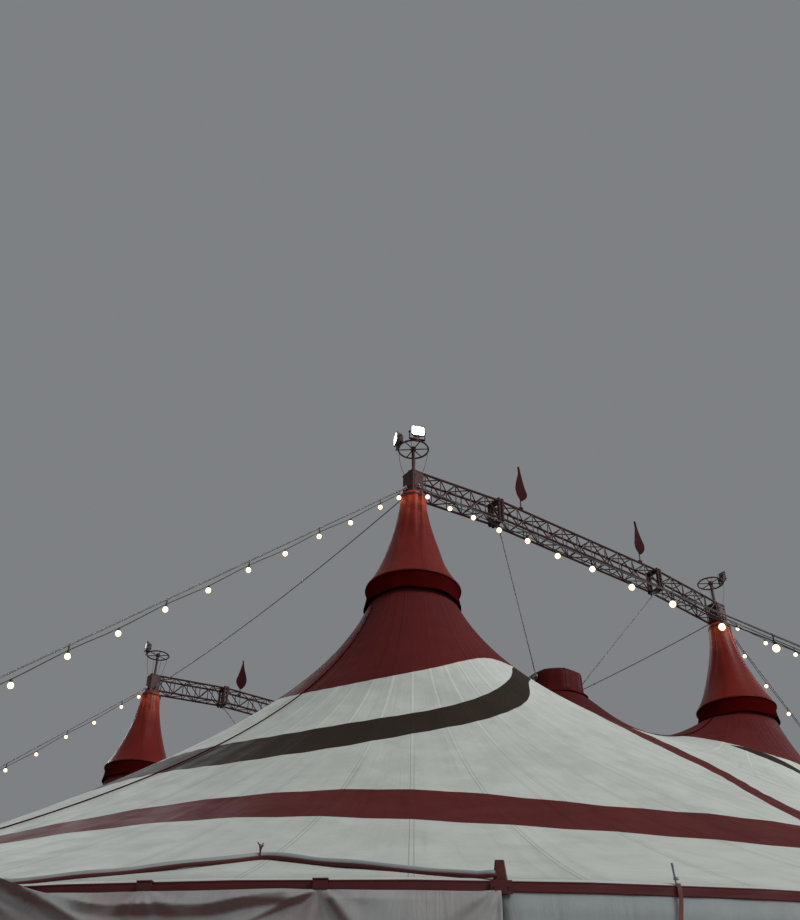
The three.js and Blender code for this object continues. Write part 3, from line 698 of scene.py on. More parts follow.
STRIPES = new_effect("Stripes", [("Vector", "vector", None)],
                     [("Red", "value"), ("Dark", "value"), ("Reach", "value")], lay_stripes)


# Materials

def object_place(n):
    return n.add("ShaderNodeTexCoord").outputs["Object"]


def surface_run(n):
    return n.add("ShaderNodeUVMap", uv_map="UVMap").outputs[0]


def lay_roof_canvas(n):
    """White coated canvas with painted red and dark stripes. The gore seams are pale raised tapes near
    the mast and thin dark lines below, painted as shadow along each tape's edge; broad soft clouds,
    streaks and creases lie over all."""
    place, run = object_place(n), surface_run(n)
    seam = n.stored("seam")
    stripes = n.effect(STRIPES, Vector=place)
    weather = n.effect(WEATHER, Vector=place, Run=run)
    tape = n.effect(SEAM, Distance=seam, Half_Width=0.020)
    weave = n.effect(WEAVE, Vector=run, Threads=280.0)
    tone = n.noise(place, 0.8, 6.0, 0.62)
    cloud = n.span(n.noise(place, 2.4, 5.0, 0.6, 0.5), 0.35, 0.68)
    white = n.blend(tone, shade(0.56, 0.61, 0.575), shade(0.73, 0.765, 0.72))
    red = n.blend(tone, shade(0.095, 0.012, 0.012), shade(0.150, 0.024, 0.024))
    dark = n.blend(tone, shade(0.024, 0.017, 0.011), shade(0.038, 0.027, 0.018))
    bare = n.times(n.rest(stripes["Red"]), n.rest(n.times(stripes["Dark"], 0.8)))
    near = n.span(stripes["Reach"], 2.6, 4.6, 1.0, 0.0)
    colour = n.blend(stripes["Red"], white, red)
    colour = n.blend(stripes["Dark"], colour, dark)
    pale = n.times(tape["Tape"], near, n.math("GREATER_THAN", bare, 0.5))
    colour = n.stained(colour, (pale, 0.42, shade(0.92, 0.92, 0.86)))
    # Painted shadow: a thin dark line along each tape's edge on the bare canvas, fainter near the mast.
    edges = n.times(tape["Line"], n.rest(n.times(near, 0.75)), bare)
    colour = n.stained(colour, (edges, 0.38, shade(0.13, 0.125, 0.115)))
    soil = n.blend(bare, shade(0.036, 0.009, 0.008), shade(0.20, 0.195, 0.17))
    colour = n.stained(colour, (cloud, 0.14, soil),
                       (weather["Blotch"], 0.16, soil),
                       (weather["Streak"], 0.20, soil),
                       (n.times(weather["Grit"], bare), 0.12, shade(0.10, 0.09, 0.08)))
    rough = n.plus(0.54, n.times(weather["Streak"], 0.16))
    rough = n.plus(rough, n.times(cloud, 0.10))
    crease = n.noise(n.scaled(run, (1.2, 0.25, 1.0)), 1.0, 4.0, 0.55, 0.6)
    normal = n.bump(crease, 0.3, 0.05)
    relief = n.times(tape["Tape"], n.plus(n.times(near, 0.8), 0.2))
    normal = n.bump(relief, 0.5, 0.004, normal)
    normal = n.bump(weave["Height"], 0.2, 0.0005, normal)
    return {"Base_Color": colour, "Roughness": rough, "Normal": normal}


def lay_peak_vinyl(n):
    """Glossy orange-red vinyl with vertical welds, fine creases and darker scuffs, and brighter orange
    patches toward the top painted as the glow of the lamps on it.
    """
    place, run = object_place(n), surface_run(n)
    parts = n.split(run)
    panel = n.minus(n.math("FRACT", n.times(parts[0], 8.0)), 0.5)
    tape = n.effect(SEAM, Distance=n.times(panel, 0.5), Half_Width=0.014)
    weather = n.effect(WEATHER, Vector=place, Run=n.scaled(run, (3.0, 1.0, 1.0)))
    tone = n.noise(place, 2.6, 5.0, 0.6)
    height = n.split(place)[2]
    colour = n.blend(tone, shade(0.135, 0.0095, 0.0065), shade(0.215, 0.019, 0.011))
    # Painted light: brighter orange patches toward the top of the sleeve stand for the glow of the lamps
    # near it.
    painted_lamp_glow = n.times(n.span(height, 11.1, 12.0), n.span(tone, 0.30, 0.62))
    colour = n.blend(painted_lamp_glow, colour, shade(0.56, 0.075, 0.024))
    colour = n.stained(colour, (weather["Streak"], 0.45, shade(0.06, 0.005, 0.004)),
                       (tape["Line"], 0.5, shade(0.04, 0.004, 0.003)),
                       (weather["Grit"], 0.12, shade(0.04, 0.012, 0.010)))
    rough = n.plus(0.30, n.times(n.noise(place, 9.0, 4.0), 0.24))
    wrinkle = n.noise(n.scaled(run, (9.0, 1.1, 1.0)), 1.0, 4.0, 0.5, 0.8)
    weave = n.effect(WEAVE, Vector=n.scaled(run, (3.0, 1.0, 1.0)), Threads=300.0)
    normal = n.bump(wrinkle, 0.4, 0.03)
    normal = n.bump(tape["Tape"], 0.5, 0.002, normal)
    normal = n.bump(weave["Height"], 0.15, 0.0003, normal)
    return {"Base_Color": colour, "Roughness": rough, "Normal": normal}


def lay_trim_vinyl(base, pale):
    def lay(n):
        """Coated trim cloth: two tones of one colour, dust on it, stitching weave and scuffed gloss."""
        place, run = object_place(n), surface_run(n)
        weather = n.effect(WEATHER, Vector=place, Run=run)
        weave = n.effect(WEAVE, Vector=run, Threads=260.0)
        tone = n.noise(place, 3.1, 5.0, 0.6)
        colour = n.blend(tone, base, pale)
        colour = n.stained(colour, (weather["Blotch"], 0.3, shade(0.030, 0.010, 0.009)),
                           (weather["Grit"], 0.12, shade(0.11, 0.05, 0.04)))
        rough = n.plus(0.42, n.times(weather["Blotch"], 0.2))
        normal = n.bump(n.noise(place, 14.0, 4.0), 0.25, 0.006)
        normal = n.bump(weave["Height"], 0.3, 0.0004, normal)
        return {"Base_Color": colour, "Roughness": rough, "Normal": normal}
    return lay


def lay_wall_canvas(base, pale, stain):
    def lay(n):
        """Grey-white canvas with reddish dirt, mildew toward the ground, and hung creases."""
        return hung_canvas(n, base, pale, stain)
    return lay


def hung_canvas(n, base, pale, stain):
    """The canvas of walls and curtains, from its two tones and the strength of its red stains."""
    place, run = object_place(n), surface_run(n)
    height = n.split(place)[2]
    weather = n.effect(WEATHER, Vector=n.scaled(place, (2.2, 2.2, 0.8)), Run=run)
    weave = n.effect(WEAVE, Vector=run, Threads=240.0)
    tone = n.noise(place, 1.7, 6.0, 0.62)
    colour = n.blend(tone, base, pale)
    colour = n.blend(n.times(weather["Blotch"], stain), colour, shade(0.20, 0.085, 0.07))
    colour = n.stained(colour, (weather["Streak"], 0.3, shade(0.16, 0.14, 0.12)))
    splash = n.times(n.span(height, 0.0, 0.75, 1.0, 0.0), n.span(tone, 0.3, 0.7))
    colour = n.stained(colour, (splash, 0.7, shade(0.13, 0.11, 0.085)),
                       (weather["Grit"], 0.15, shade(0.09, 0.08, 0.07)))
    rough = n.plus(0.5, n.times(tone, 0.2))
    crease = n.noise(n.scaled(run, (3.5, 0.9, 1.0)), 1.0, 5.0, 0.6, 1.2)
    normal = n.bump(crease, 0.45, 0.03)
    normal = n.bump(weave["Height"], 0.35, 0.0006, normal)
    return {"Base_Color": colour, "Roughness": rough, "Normal": normal}


def lay_curtain_canvas(n):
    """Curtain canvas, with a reddish shade painted on the undersides of its folds and inside the pleat."""
    look = hung_canvas(n, shade(0.30, 0.305, 0.31), shade(0.47, 0.48, 0.48), 0.40)
    fold = n.stored("fold")
    # Painted shade: the stored share darkens the undersides of the folds and the inside of the pleat.
    look["Base_Color"] = n.stained(look["Base_Color"], (fold, 0.85, shade(0.105, 0.040, 0.036)))
    return look


def lay_painted_steel(base, pale, wear):
    def lay(n):
        """Painted steel: two tones, chips down to rust, grime in broad patches."""
        place = object_place(n)
        worn = n.effect(WORN_PAINT, Vector=place, Wear=wear)
        rust = n.blend(n.noise(place, 55.0, 4.0), shade(0.06, 0.022, 0.012), shade(0.19, 0.075, 0.03))
        colour = n.blend(n.noise(place, 4.0, 4.0), base, pale)
        colour = n.stained(colour, (worn["Grime"], 0.35, shade(0.02, 0.017, 0.015)))
        colour = n.blend(worn["Chips"], colour, rust)
        rough = n.plus(n.plus(0.36, n.times(worn["Grime"], 0.2)), n.times(worn["Chips"], 0.3))
        normal = n.bump(n.minus(n.times(worn["Ripple"], 0.4), worn["Chips"]), 0.4, 0.0012)
        return {"Base_Color": colour, "Roughness": rough, "Normal": normal}
    return lay


def lay_galvanised(n):
    """Dull zinc with spangles and grease."""
    place = object_place(n)
    spangle = n.add("ShaderNodeTexVoronoi", {"Vector": place, "Scale": 90.0}).outputs["Color"]
    tint = n.add("ShaderNodeSeparateColor", {0: spangle}).outputs[0]
    colour = n.blend(tint, shade(0.26, 0.27, 0.28), shade(0.44, 0.45, 0.46))
    grease = n.span(n.noise(place, 5.0, 5.0, 0.6), 0.45, 0.7)
    colour = n.stained(colour, (grease, 0.6, shade(0.06, 0.055, 0.05)))
    return {"Base_Color": colour, "Roughness": n.span(tint, 0.0, 1.0, 0.3, 0.5, smooth=False)}


def lay_wire_rope(n):
    """Galvanised strands with painted shade darkening the grooves between them."""
    place, run = object_place(n), surface_run(n)
    strands = n.effect(STRANDS, Turns=run, Lay=38.0)
    colour = n.blend(n.noise(place, 6.0, 4.0), shade(0.16, 0.165, 0.17), shade(0.32, 0.325, 0.33))
    # Painted shade in the grooves between the strands.
    colour = n.blend(strands["Groove"], colour, shade(0.025, 0.024, 0.022))
    rough = n.plus(0.34, n.times(strands["Groove"], 0.3))
    return {"Base_Color": colour, "Roughness": rough, "Normal": n.bump(strands["Height"], 0.8, 0.003)}


def lay_rubber(n):
    """Weathered black rubber with dust."""
    place = object_place(n)
    dust = n.span(n.noise(place, 22.0, 5.0, 0.65), 0.45, 0.75)
    colour = n.blend(dust, shade(0.012, 0.012, 0.013), shade(0.06, 0.057, 0.052))
    return {"Base_Color": colour, "Roughness": n.plus(0.45, n.times(dust, 0.25)),
            "Normal": n.bump(n.noise(place, 260.0, 2.0), 0.2, 0.0006)}


def lay_bulb_glass(n):
    """A lit lamp: warm white at the middle of the glass, amber toward its edge."""
    rim = n.add("ShaderNodeLayerWeight", {"Blend": 0.45}).outputs["Facing"]
    glow = n.blend(rim, shade(1.0, 0.90, 0.70), shade(1.0, 0.55, 0.22))
    return {"Base_Color": glow, "Emission_Color": glow}


def lay_lens(lit):
    def lay(n):
        """Fluted lamp glass: narrow upright ribs with a cloudy film of dust."""
        place, run = object_place(n), surface_run(n)
        parts = n.split(run)
        ribs = n.ribs(n.times(parts[0], 220.0))
        dust = n.span(n.noise(place, 30.0, 4.0), 0.4, 0.7)
        base = shade(0.9, 0.97, 0.9) if lit else shade(0.10, 0.11, 0.115)
        colour = n.blend(n.times(dust, 0.3), base, shade(0.35, 0.33, 0.30))
        look = {"Base_Color": colour, "Roughness": n.plus(0.08, n.times(dust, 0.3)),
                "Normal": n.bump(ribs, 0.5, 0.002)}
        if lit:
            look["Emission_Color"] = n.blend(n.times(ribs, 0.35), shade(0.93, 1.0, 0.90),
                                             shade(1.0, 1.0, 1.0))
        return look
    return lay


def lay_flag_cloth(n):
    """Thin red flag cloth in two tones, with a pale stripe along its fly."""
    place, run = object_place(n), surface_run(n)
    parts = n.split(run)
    weave = n.effect(WEAVE, Vector=run, Threads=500.0)
    stripe = n.times(n.span(parts[0], 0.23, 0.236), n.span(parts[0], 0.29, 0.296, 1.0, 0.0))
    colour = n.blend(n.noise(place, 6.0, 4.0), shade(0.026, 0.005, 0.006), shade(0.056, 0.008, 0.009))
    colour = n.stained(colour, (stripe, 0.7, shade(0.30, 0.27, 0.25)))
    return {"Base_Color": colour, "Roughness": n.plus(0.6, n.times(weave["Fibre"], 0.15)),
            "Normal": n.bump(weave["Height"], 0.3, 0.0004)}


def lay_webbing(base, pale):
    def lay(n):
        """Polyester webbing: ribs across the strap, fuzz and dirt."""
        place, run = object_place(n), surface_run(n)
        weave = n.effect(WEAVE, Vector=run, Threads=420.0)
        dirt = n.span(n.noise(place, 12.0, 5.0, 0.65), 0.4, 0.7)
        colour = n.blend(weave["Height"], base, pale)
        colour = n.stained(colour, (dirt, 0.5, shade(0.06, 0.045, 0.035)))
        return {"Base_Color": colour, "Roughness": n.plus(0.6, n.times(dirt, 0.2)),
                "Normal": n.bump(weave["Height"], 0.6, 0.0008)}
    return lay


ROOF_CANVAS = new_paint("Roof canvas", lay_roof_canvas, Specular_IOR_Level=0.06)
PEAK_VINYL = new_paint("Peak vinyl", lay_peak_vinyl, Specular_IOR_Level=0.13, Coat_Weight=0.08,
                       Coat_Roughness=0.22)
HEM_VINYL = new_paint("Hem vinyl", lay_trim_vinyl(shade(0.040, 0.001, 0.001), shade(0.072, 0.003, 0.003)),
                      Specular_IOR_Level=0.0)
BAND_VINYL = new_paint("Eave band vinyl",
                       lay_trim_vinyl(shade(0.085, 0.015, 0.017), shade(0.135, 0.027, 0.028)),
                       Specular_IOR_Level=0.2)
VENT_VINYL = new_paint("Vent cap vinyl",
                       lay_trim_vinyl(shade(0.070, 0.004, 0.005), shade(0.115, 0.008, 0.009)),
                       Specular_IOR_Level=0.07, Coat_Weight=0.03, Coat_Roughness=0.35)
WALL_CANVAS = new_paint("Wall canvas",
                        lay_wall_canvas(shade(0.27, 0.31, 0.315), shade(0.42, 0.46, 0.465), 0.42),
                        Specular_IOR_Level=0.12)
EDGE_CANVAS = new_paint("Roof edge canvas",
                        lay_wall_canvas(shade(0.50, 0.55, 0.52), shade(0.66, 0.70, 0.66), 0.12),
                        Specular_IOR_Level=0.15)
CURTAIN_CANVAS = new_paint("Curtain canvas", lay_curtain_canvas, Specular_IOR_Level=0.2)
TRUSS_PAINT = new_paint("Truss paint",
                        lay_painted_steel(shade(0.032, 0.007, 0.007), shade(0.062, 0.012, 0.011), 0.4),
                        Specular_IOR_Level=0.25)
MAST_PAINT = new_paint("Mast paint", lay_painted_steel(shade(0.045, 0.014, 0.013),
                                                       shade(0.080, 0.022, 0.019), 0.4),
                       Specular_IOR_Level=0.25)
POLE_PAINT = new_paint("Pole paint", lay_painted_steel(shade(0.075, 0.013, 0.014),
                                                       shade(0.12, 0.023, 0.022), 0.7),
                       Specular_IOR_Level=0.25)
BLACK_PAINT = new_paint("Lamp paint",
                        lay_painted_steel(shade(0.016, 0.016, 0.017), shade(0.035, 0.034, 0.034), 0.4))
STAKE_STEEL = new_paint("Stake steel",
                        lay_painted_steel(shade(0.07, 0.045, 0.03), shade(0.13, 0.08, 0.05), 1.0),
                        Metallic=0.4)
ZINC = new_paint("Galvanised steel", lay_galvanised, Metallic=0.9)
WIRE_ROPE = new_paint("Wire rope", lay_wire_rope, Metallic=0.7)
RUBBER = new_paint("Black rubber", lay_rubber)
BULB_GLASS = new_paint("Lit bulb glass", lay_bulb_glass, Emission_Strength=2.6, Roughness=0.25)
LENS_LIT = new_paint("Lit lamp lens", lay_lens(True), Emission_Strength=9.0)
LENS_DARK = new_paint("Dark lamp lens", lay_lens(False), Coat_Weight=0.5)
FLAG_CLOTH = new_paint("Flag cloth", lay_flag_cloth, Specular_IOR_Level=0.05)
STRAP = new_paint("Red webbing", lay_webbing(shade(0.09, 0.015, 0.014), shade(0.17, 0.03, 0.026)),
                  Sheen_Weight=0.2)


# Camera and light

SENSOR_WIDTH = 36
VIEW_TALL = 920
VIEW_FAR = 500
FOCAL = 986.8
EYE = (-13.438, -17.954, 1.6)
PITCH_YAW_ROLL = (36.466, 35.714, 0.669)
LIGHT_WIDTH = 26
FLOOR_RADIUS = 90
FLOOR_Z = -0.004


def set_camera():
    """The photograph's view: eye height, looking up and to the right, with a slight roll."""
    pitch, yaw, roll = (math.radians(a) for a in PITCH_YAW_ROLL)
    level = np.array([math.sin(yaw), math.cos(yaw), 0])
    right = np.array([math.cos(yaw), -math.sin(yaw), 0])
    ahead = level * math.cos(pitch) + np.array([0, 0, math.sin(pitch)])
    up = np.array([0, 0, math.cos(pitch)]) - level * math.sin(pitch)
    side = right * math.cos(roll) + up * math.sin(roll)
    top = up * math.cos(roll) - right * math.sin(roll)
    camera = bpy.data.objects.new("camera", bpy.data.cameras.new("camera"))
    bpy.context.scene.collection.objects.link(camera)
    camera.data.sensor_width = SENSOR_WIDTH
    camera.data.lens = FOCAL / VIEW_TALL * SENSOR_WIDTH
    camera.data.clip_end = VIEW_FAR
    matrix = np.eye(4)
    matrix[:3, :3] = np.stack([side, top, -ahead], 1)
    matrix[:3, 3] = EYE
    camera.matrix_world = Matrix(matrix.tolist())
    bpy.context.scene.camera = camera


def add_light(name, place, aim, power, colour):
    """A round area light aimed at a point."""
    light = bpy.data.lights.new(name, "AREA")
    light.shape = "DISK"
    light.size = LIGHT_WIDTH
    light.energy = power
    light.color = colour
    lamp = bpy.data.objects.new(name, light)
    bpy.context.scene.collection.objects.link(lamp)
    lamp.location = place
    lamp.rotation_euler = (Vector(aim) - Vector(place)).to_track_quat("-Z", "Y").to_euler()


def set_view():
    """Plain colours, so that the reds stay deep."""
    view = bpy.context.scene.view_settings
    view.view_transform = "Standard"
    view.look = "None"


def set_light():
    """A pale even surround with a broad key from the front, a softer fill from the right and a weak
    back light."""
    world = bpy.data.worlds.new("surround")
    bpy.context.scene.world = world
    world.use_nodes = True
    surround = world.node_tree.nodes["Background"].inputs
    surround["Color"].default_value = shade(0.72, 0.75, 0.78)
    surround["Strength"].default_value = 0.29
    for name, place, aim_z, power, colour in (("key", (6, -52, 44), 6, 16500, (1.0, 0.98, 0.95)),
                                              ("fill", (50, -20, 30), 6, 6500, (0.92, 0.96, 1.0)),
                                              ("back", (6, 56, 42), 7, 5500, (0.95, 0.97, 1.0))):
        add_light(name, place, (0, 0, aim_z), power, colour)


def set_floor():
    """A round pale studio floor under the tent."""
    ring = np.column_stack([circle(FLOOR_RADIUS, 96), np.full(96, FLOOR_Z)])
    mesh = bpy.data.meshes.new("floor")
    mesh.from_pydata(ring.tolist(), [], [list(range(len(ring)))])
    floor = bpy.data.objects.new("floor", mesh)
    bpy.context.scene.collection.objects.link(floor)

    def lay(n):
        return {"Base_Color": n.blend(n.noise(object_place(n), 0.4, 4.0), shade(0.60, 0.60, 0.59),
                                      shade(0.66, 0.66, 0.65))}
    mesh.materials.append(new_paint("Studio floor", lay, Roughness=0.8))


set_camera()
set_view()
set_light()
set_floor()


# Roof canvas

COLUMNS_PER_GORE = 4
ROOF_ROWS = 44
PLANE_STEPS = 49
SEAM_DIP = 0.009
EAVE_RIPPLE = 0.006
ROOF_EDGE = EAVE_RADIUS - BAND_DEPTH - 0.0003
THROAT_CLEAR = 0.435


def quarter_edge():
    """The edge of one quarter as seen from its mast, point after point: the rim in quarter gores, then
    the two middle planes, which pass round the vent's throat."""
    rim_angles = np.radians(90 - np.arange(0, 19.5 * COLUMNS_PER_GORE + 0.5) * GORE_DEG / COLUMNS_PER_GORE)
    rim = np.stack([np.sin(rim_angles), np.cos(rim_angles)], -1) * ROOF_EDGE
    down = np.linspace(ROOF_EDGE, 0, PLANE_STEPS)[1:]
    across = np.sqrt(np.maximum(THROAT_CLEAR ** 2 - (down - VENT_Y) ** 2, 0))
    front = np.stack([across, down], -1)
    across = np.linspace(0, ROOF_EDGE, PLANE_STEPS)[1:-1]
    side = np.stack([across, np.zeros_like(across)], -1)
    edge = np.vstack([rim, front, side])
    return np.maximum(edge, 0.00015)


def roof_quarter():
    """Rays from the mast ring to the quarter's edge, spaced by a constant ratio, at the roof's height.
    Between seams the cloth dips by a squared sine, and near the eave it ripples between its poles."""
    edge = quarter_edge()
    mast = np.array([MAST_X, MAST_Y])
    reach = np.linalg.norm(edge - mast, axis=1)
    share = shares(ROOF_ROWS)
    t = (RING_RADIUS / reach) * (reach / RING_RADIUS) ** share
    x = MAST_X + (edge[:, 0] - MAST_X) * t
    y = MAST_Y + (edge[:, 1] - MAST_Y) * t
    z = roof_height(x, y)
    column = np.arange(len(edge))
    gore = ((column + 2) % COLUMNS_PER_GORE) / COLUMNS_PER_GORE
    run = t * reach
    step_x, step_y = (np.roll(part, -1, 1) - np.roll(part, 1, 1) for part in (x, y))
    width = np.hypot(step_x, step_y) / 2 * COLUMNS_PER_GORE
    free = ramp(run - 0.9, 2.5) * ramp(reach - run, 0.8)
    z = z - SEAM_DIP * np.sin(np.pi * gore) ** 2 * free
    out = np.hypot(x, y)
    turn = np.degrees(np.arctan2(x, y))
    inward = ROOF_EDGE - out
    ripple = EAVE_RIPPLE * np.cos(np.radians(turn / GORE_DEG * 360)) * np.exp(-inward / 0.5)
    z = z + ripple * ramp(inward, 0.1)
    seam = np.minimum(gore, 1 - gore) * width
    points = np.stack([x, y, z], -1)
    uv_u = np.arange(len(edge) + 1) * 0.3
    uv = np.stack([np.broadcast_to(uv_u, (ROOF_ROWS, len(edge) + 1)), np.hstack([run, run[:, :1]])], -1)
    return surface(points, around=True, uv=uv), seam


def make_roofs():
    shell, seam = roof_quarter()
    for corner, (sx, sy) in CORNERS.items():
        roof = piece(f"roof_canvas_{corner}", to_corner(shell, sx, sy), [ROOF_CANVAS],
                     stands_for=f"roof_{corner}", thickness=ROOF_THICK, attributes={"seam": seam})


def make_lacing():
    """The rope that laces the roof's sections along both truss lines, from each peak's hem to the eave
    and to the tent's middle; it lies on the cloth."""
    reach = math.sqrt(ROOF_EDGE ** 2 - MAST_Y ** 2)
    for side, sy in ENDS.items():
        ropes = []
        for sx in (-1, 1):
            for x in (np.linspace(MAST_X + 0.84, reach - 0.02, 70), np.linspace(MAST_X - 0.84, 0.0, 46)):
                y = np.full_like(x, sy * MAST_Y)
                z = roof_height(sx * x, y) + 0.010
                ropes.append(carried(circle(0.009, 6), np.stack([sx * x, y, z], -1), uv_turns=True))
        piece(f"roof_lacing_{side}", ropes, [HEM_VINYL])


make_roofs()
make_lacing()


# Peak cones

CONE_LINE = [(0.118, 11.998), (0.20, 12.0), (0.240, 11.985), (0.244, 11.90), (0.253, 11.78), (0.283, 11.53),
             (0.351, 11.20), (0.435, 10.90), (0.532, 10.62), (0.655, 10.31), (0.770, 10.09), (0.824, 10.0),
             (0.842, 9.972), (0.838, 9.955), (0.815, 9.962)]
HEM_ROWS = 16
HEM_TOP = 9.968
CONE_FOLDS = 7
CONE_TOP = 12.0
CONE_FOOT = 9.96
CONE_DENTS = [(0.9, 10.55, 0.42, 0.30, 0.030), (3.1, 11.0, 0.35, 0.38, 0.024),
              (4.6, 10.45, 0.50, 0.26, 0.026)]


def cone_skin(seed):
    """A sleeve whose radius follows a smooth line of height. Each fold is a groove, a bell curve of the
    turn round a centre that drifts with height, with a lower ridge beside it; dents are bell curves of
    both turn and height."""
    line = smooth_line(CONE_LINE, 80)
    sides = 132
    turn = turns(sides)
    r, z = line[:, :1], line[:, 1:]
    push = np.zeros((len(line), sides))
    for k in range(CONE_FOLDS):
        centre = seed + k * 0.9 + 0.3 * math.sin(k * 2.3 + seed) + 0.22 * np.sin(1.5 * (z - 10.4) + k * 1.3)
        away = away_from(turn, centre)
        depth = 0.017 + 0.010 * math.sin(k * 1.7 + seed)
        share = eased(ramp(z - 10.15 - 0.28 * (k % 3), 1.1))
        push = push - depth * np.exp(-(away / (0.11 + 0.05 * (k % 2))) ** 2) * share
        push = push + 0.5 * depth * np.exp(-((away - 0.26) / 0.15) ** 2) * share
    for at, level, wide, tall, deep in CONE_DENTS:
        away = away_from(turn, at + seed * 0.8)
        push = push - deep * np.exp(-(away / wide) ** 2 - ((z - level) / tall) ** 2)
    push = push + 0.008 * np.sin(3 * turn + seed + 2.0 * z) * ramp(11.6 - z, 1.0)
    tuck = ramp(CONE_TOP - z, 0.05) * ramp(z - CONE_FOOT, 0.14)
    radius = r + push * tuck * ramp(r - 0.1, 0.1)
    points = np.stack([radius * np.cos(turn), radius * np.sin(turn), np.broadcast_to(z, radius.shape)], -1)
    down = np.concatenate([[0], np.cumsum(np.linalg.norm(np.diff(line, axis=0), axis=1))])
    uv = np.stack(np.meshgrid(np.linspace(0, 1, sides + 1), down), -1)
    return surface(points, around=True, uv=uv)


def hem_skin(sx, sy, seed):
    """The short skirt under the hem ring: it is drawn in at half its height and flares to an uneven
    lower edge that stays just above the roof."""
    sides = 120
    turn = turns(sides)
    share = shares(HEM_ROWS)
    radius = 0.822 - 0.014 * np.sin(np.pi * np.minimum(share * 1.3, 1)) + 0.018 * share ** 4
    radius = radius + (0.010 * np.sin(3 * turn + seed) + 0.005 * np.sin(11 * turn + seed)) * share
    x, y = radius * np.cos(turn), radius * np.sin(turn)
    under = roof_height(sx * MAST_X + x, sy * MAST_Y + y)
    low = np.maximum(9.625 + 0.018 * np.sin(2 * turn + seed) + 0.010 * np.sin(7 * turn - seed),
                     under + 0.016)
    z = HEM_TOP + (low - HEM_TOP) * share
    return surface(np.stack([x, y, z], -1), around=True)


def make_cones():
    for index, (corner, (sx, sy)) in enumerate(CORNERS.items()):
        spot = mast_foot(sx, sy)
        top = piece(f"peak_cone_skin_{corner}", moved(cone_skin(1.0 + index * 1.9), spot), [PEAK_VINYL],
                    stands_for=f"peak_cone_{corner}", thickness=VINYL_THICK)
        skirt = moved(hem_skin(sx, sy, index), spot)
        low = piece(f"peak_hem_skirt_{corner}", skirt, [HEM_VINYL], thickness=VINYL_THICK)
        for thing, width, held in ((top, SHEET_WIDTH["cone"], "gathered"),
                                   (low, SHEET_WIDTH["skirt"], "hung")):
            faced(thing, centre=spot[:2])
        edge = skirt[0].reshape(HEM_ROWS, -1, 3)[-1]
        welts = [hoop(circle(0.0075, 8), 0.836, 9.972, 72, spot),
                 carried(circle(0.0055, 8), edge, closed=True, reference=UP),
                 hoop(plate_edge(0.006, 0.035, 0.002), 0.252, 11.92, 72, spot, 1)]
        piece(f"peak_hem_welts_{corner}", welts, [HEM_VINYL, RUBBER])


make_cones()


# Masts with their heads, lamp wheels and bale rings

YOKE_ARM = 0.149
SHAFT_JOINTS = (3.2, 6.4, 9.6)
SHAFT_COLLAR = [(0.11, -0.02), (0.150, -0.018), (0.150, -0.002), (0.146, 0), (0.150, 0.002), (0.150, 0.018),
                (0.11, 0.02)]
BALE_Z = 9.68


def bolt(place, ahead, size=0.012, paint=0):
    """A hexagon bolt head with a domed top."""
    shape = turned([(0, -size * 0.4), (size, -size * 0.4), (size, size * 0.45), (size * 0.75, size * 0.7),
                    (0, size * 0.75)], 6, paint)
    return aimed(shape, place, ahead)


def lamp_axes(spot, bearing):
    """A lamp's pivot on the wheel's rim, the way it points and its side."""
    turn = math.radians(bearing)
    out = np.array([-math.sin(turn), -math.cos(turn), 0])
    side = np.array([out[1], -out[0], 0])
    return np.array([spot[0], spot[1], PIVOT_Z]) + out * WHEEL_RADIUS, out, side


def yoke_steel(spot, bearing):
    """The U-shaped holder of one floodlight on the lamp wheel's rim."""
    pivot, out, side = lamp_axes(spot, bearing)
    foot = pivot - UP * 0.159
    reach = side * (YOKE_ARM + 0.007)
    parts = [spanned(foot, reach, 0.058, 0.012, reference=UP),
             bar(pivot - UP * 0.197, pivot - UP * 0.157, 0.05, 0.05, reference=out)]
    washer = turned([(0, -0.004), (0.024, -0.004), (0.024, 0.004), (0, 0.004)], 16)
    for s in (-1, 1):
        at = pivot + side * s * YOKE_ARM
        parts.append(bar(at - UP * 0.162, at + UP * 0.024, 0.014, 0.040, reference=out))
        parts.append(aimed(washer, at + side * s * 0.011, side))
        parts.append(bolt(at - UP * 0.145 + side * s * 0.008, side * s, 0.009))
    return parts


def shaft_shells(spot):
    """Base plate, shaft with its bolted collars, gussets and anchor bolts."""
    parts = [bar(spot, spot + UP * 0.024, 0.6, 0.6, 0.02, reference=(1, 0, 0))]
    shaft = [(0.0, 0.02), (0.11, 0.02)]
    for z in SHAFT_JOINTS:
        shaft += [(radius, z + up) for radius, up in SHAFT_COLLAR]
    shaft += [(0.11, HEAD_BOTTOM + 0.02), (0.0, HEAD_BOTTOM + 0.02)]
    parts.append(moved(turned(shaft, 32), spot))
    for z in SHAFT_JOINTS:
        parts += [bolt(spot + d * 0.130 + UP * (z + 0.022), UP, 0.010) for d in spokes(8, 0.2)]
    washer = turned([(0, -0.02), (0.018, -0.02), (0.018, 0.05), (0.013, 0.055), (0, 0.055)], 12)
    for d in spokes(4, math.pi / 4):
        parts.append(bar(spot + d * 0.10 + UP * 0.09, spot + d * 0.24 + UP * 0.03, 0.014, 0.10,
                         reference=UP))
        parts.append(aimed(washer, spot + d * 0.34 + UP * 0.03, UP))
        parts.append(bolt(spot + d * 0.34 + UP * 0.034, UP, 0.026))
    return parts


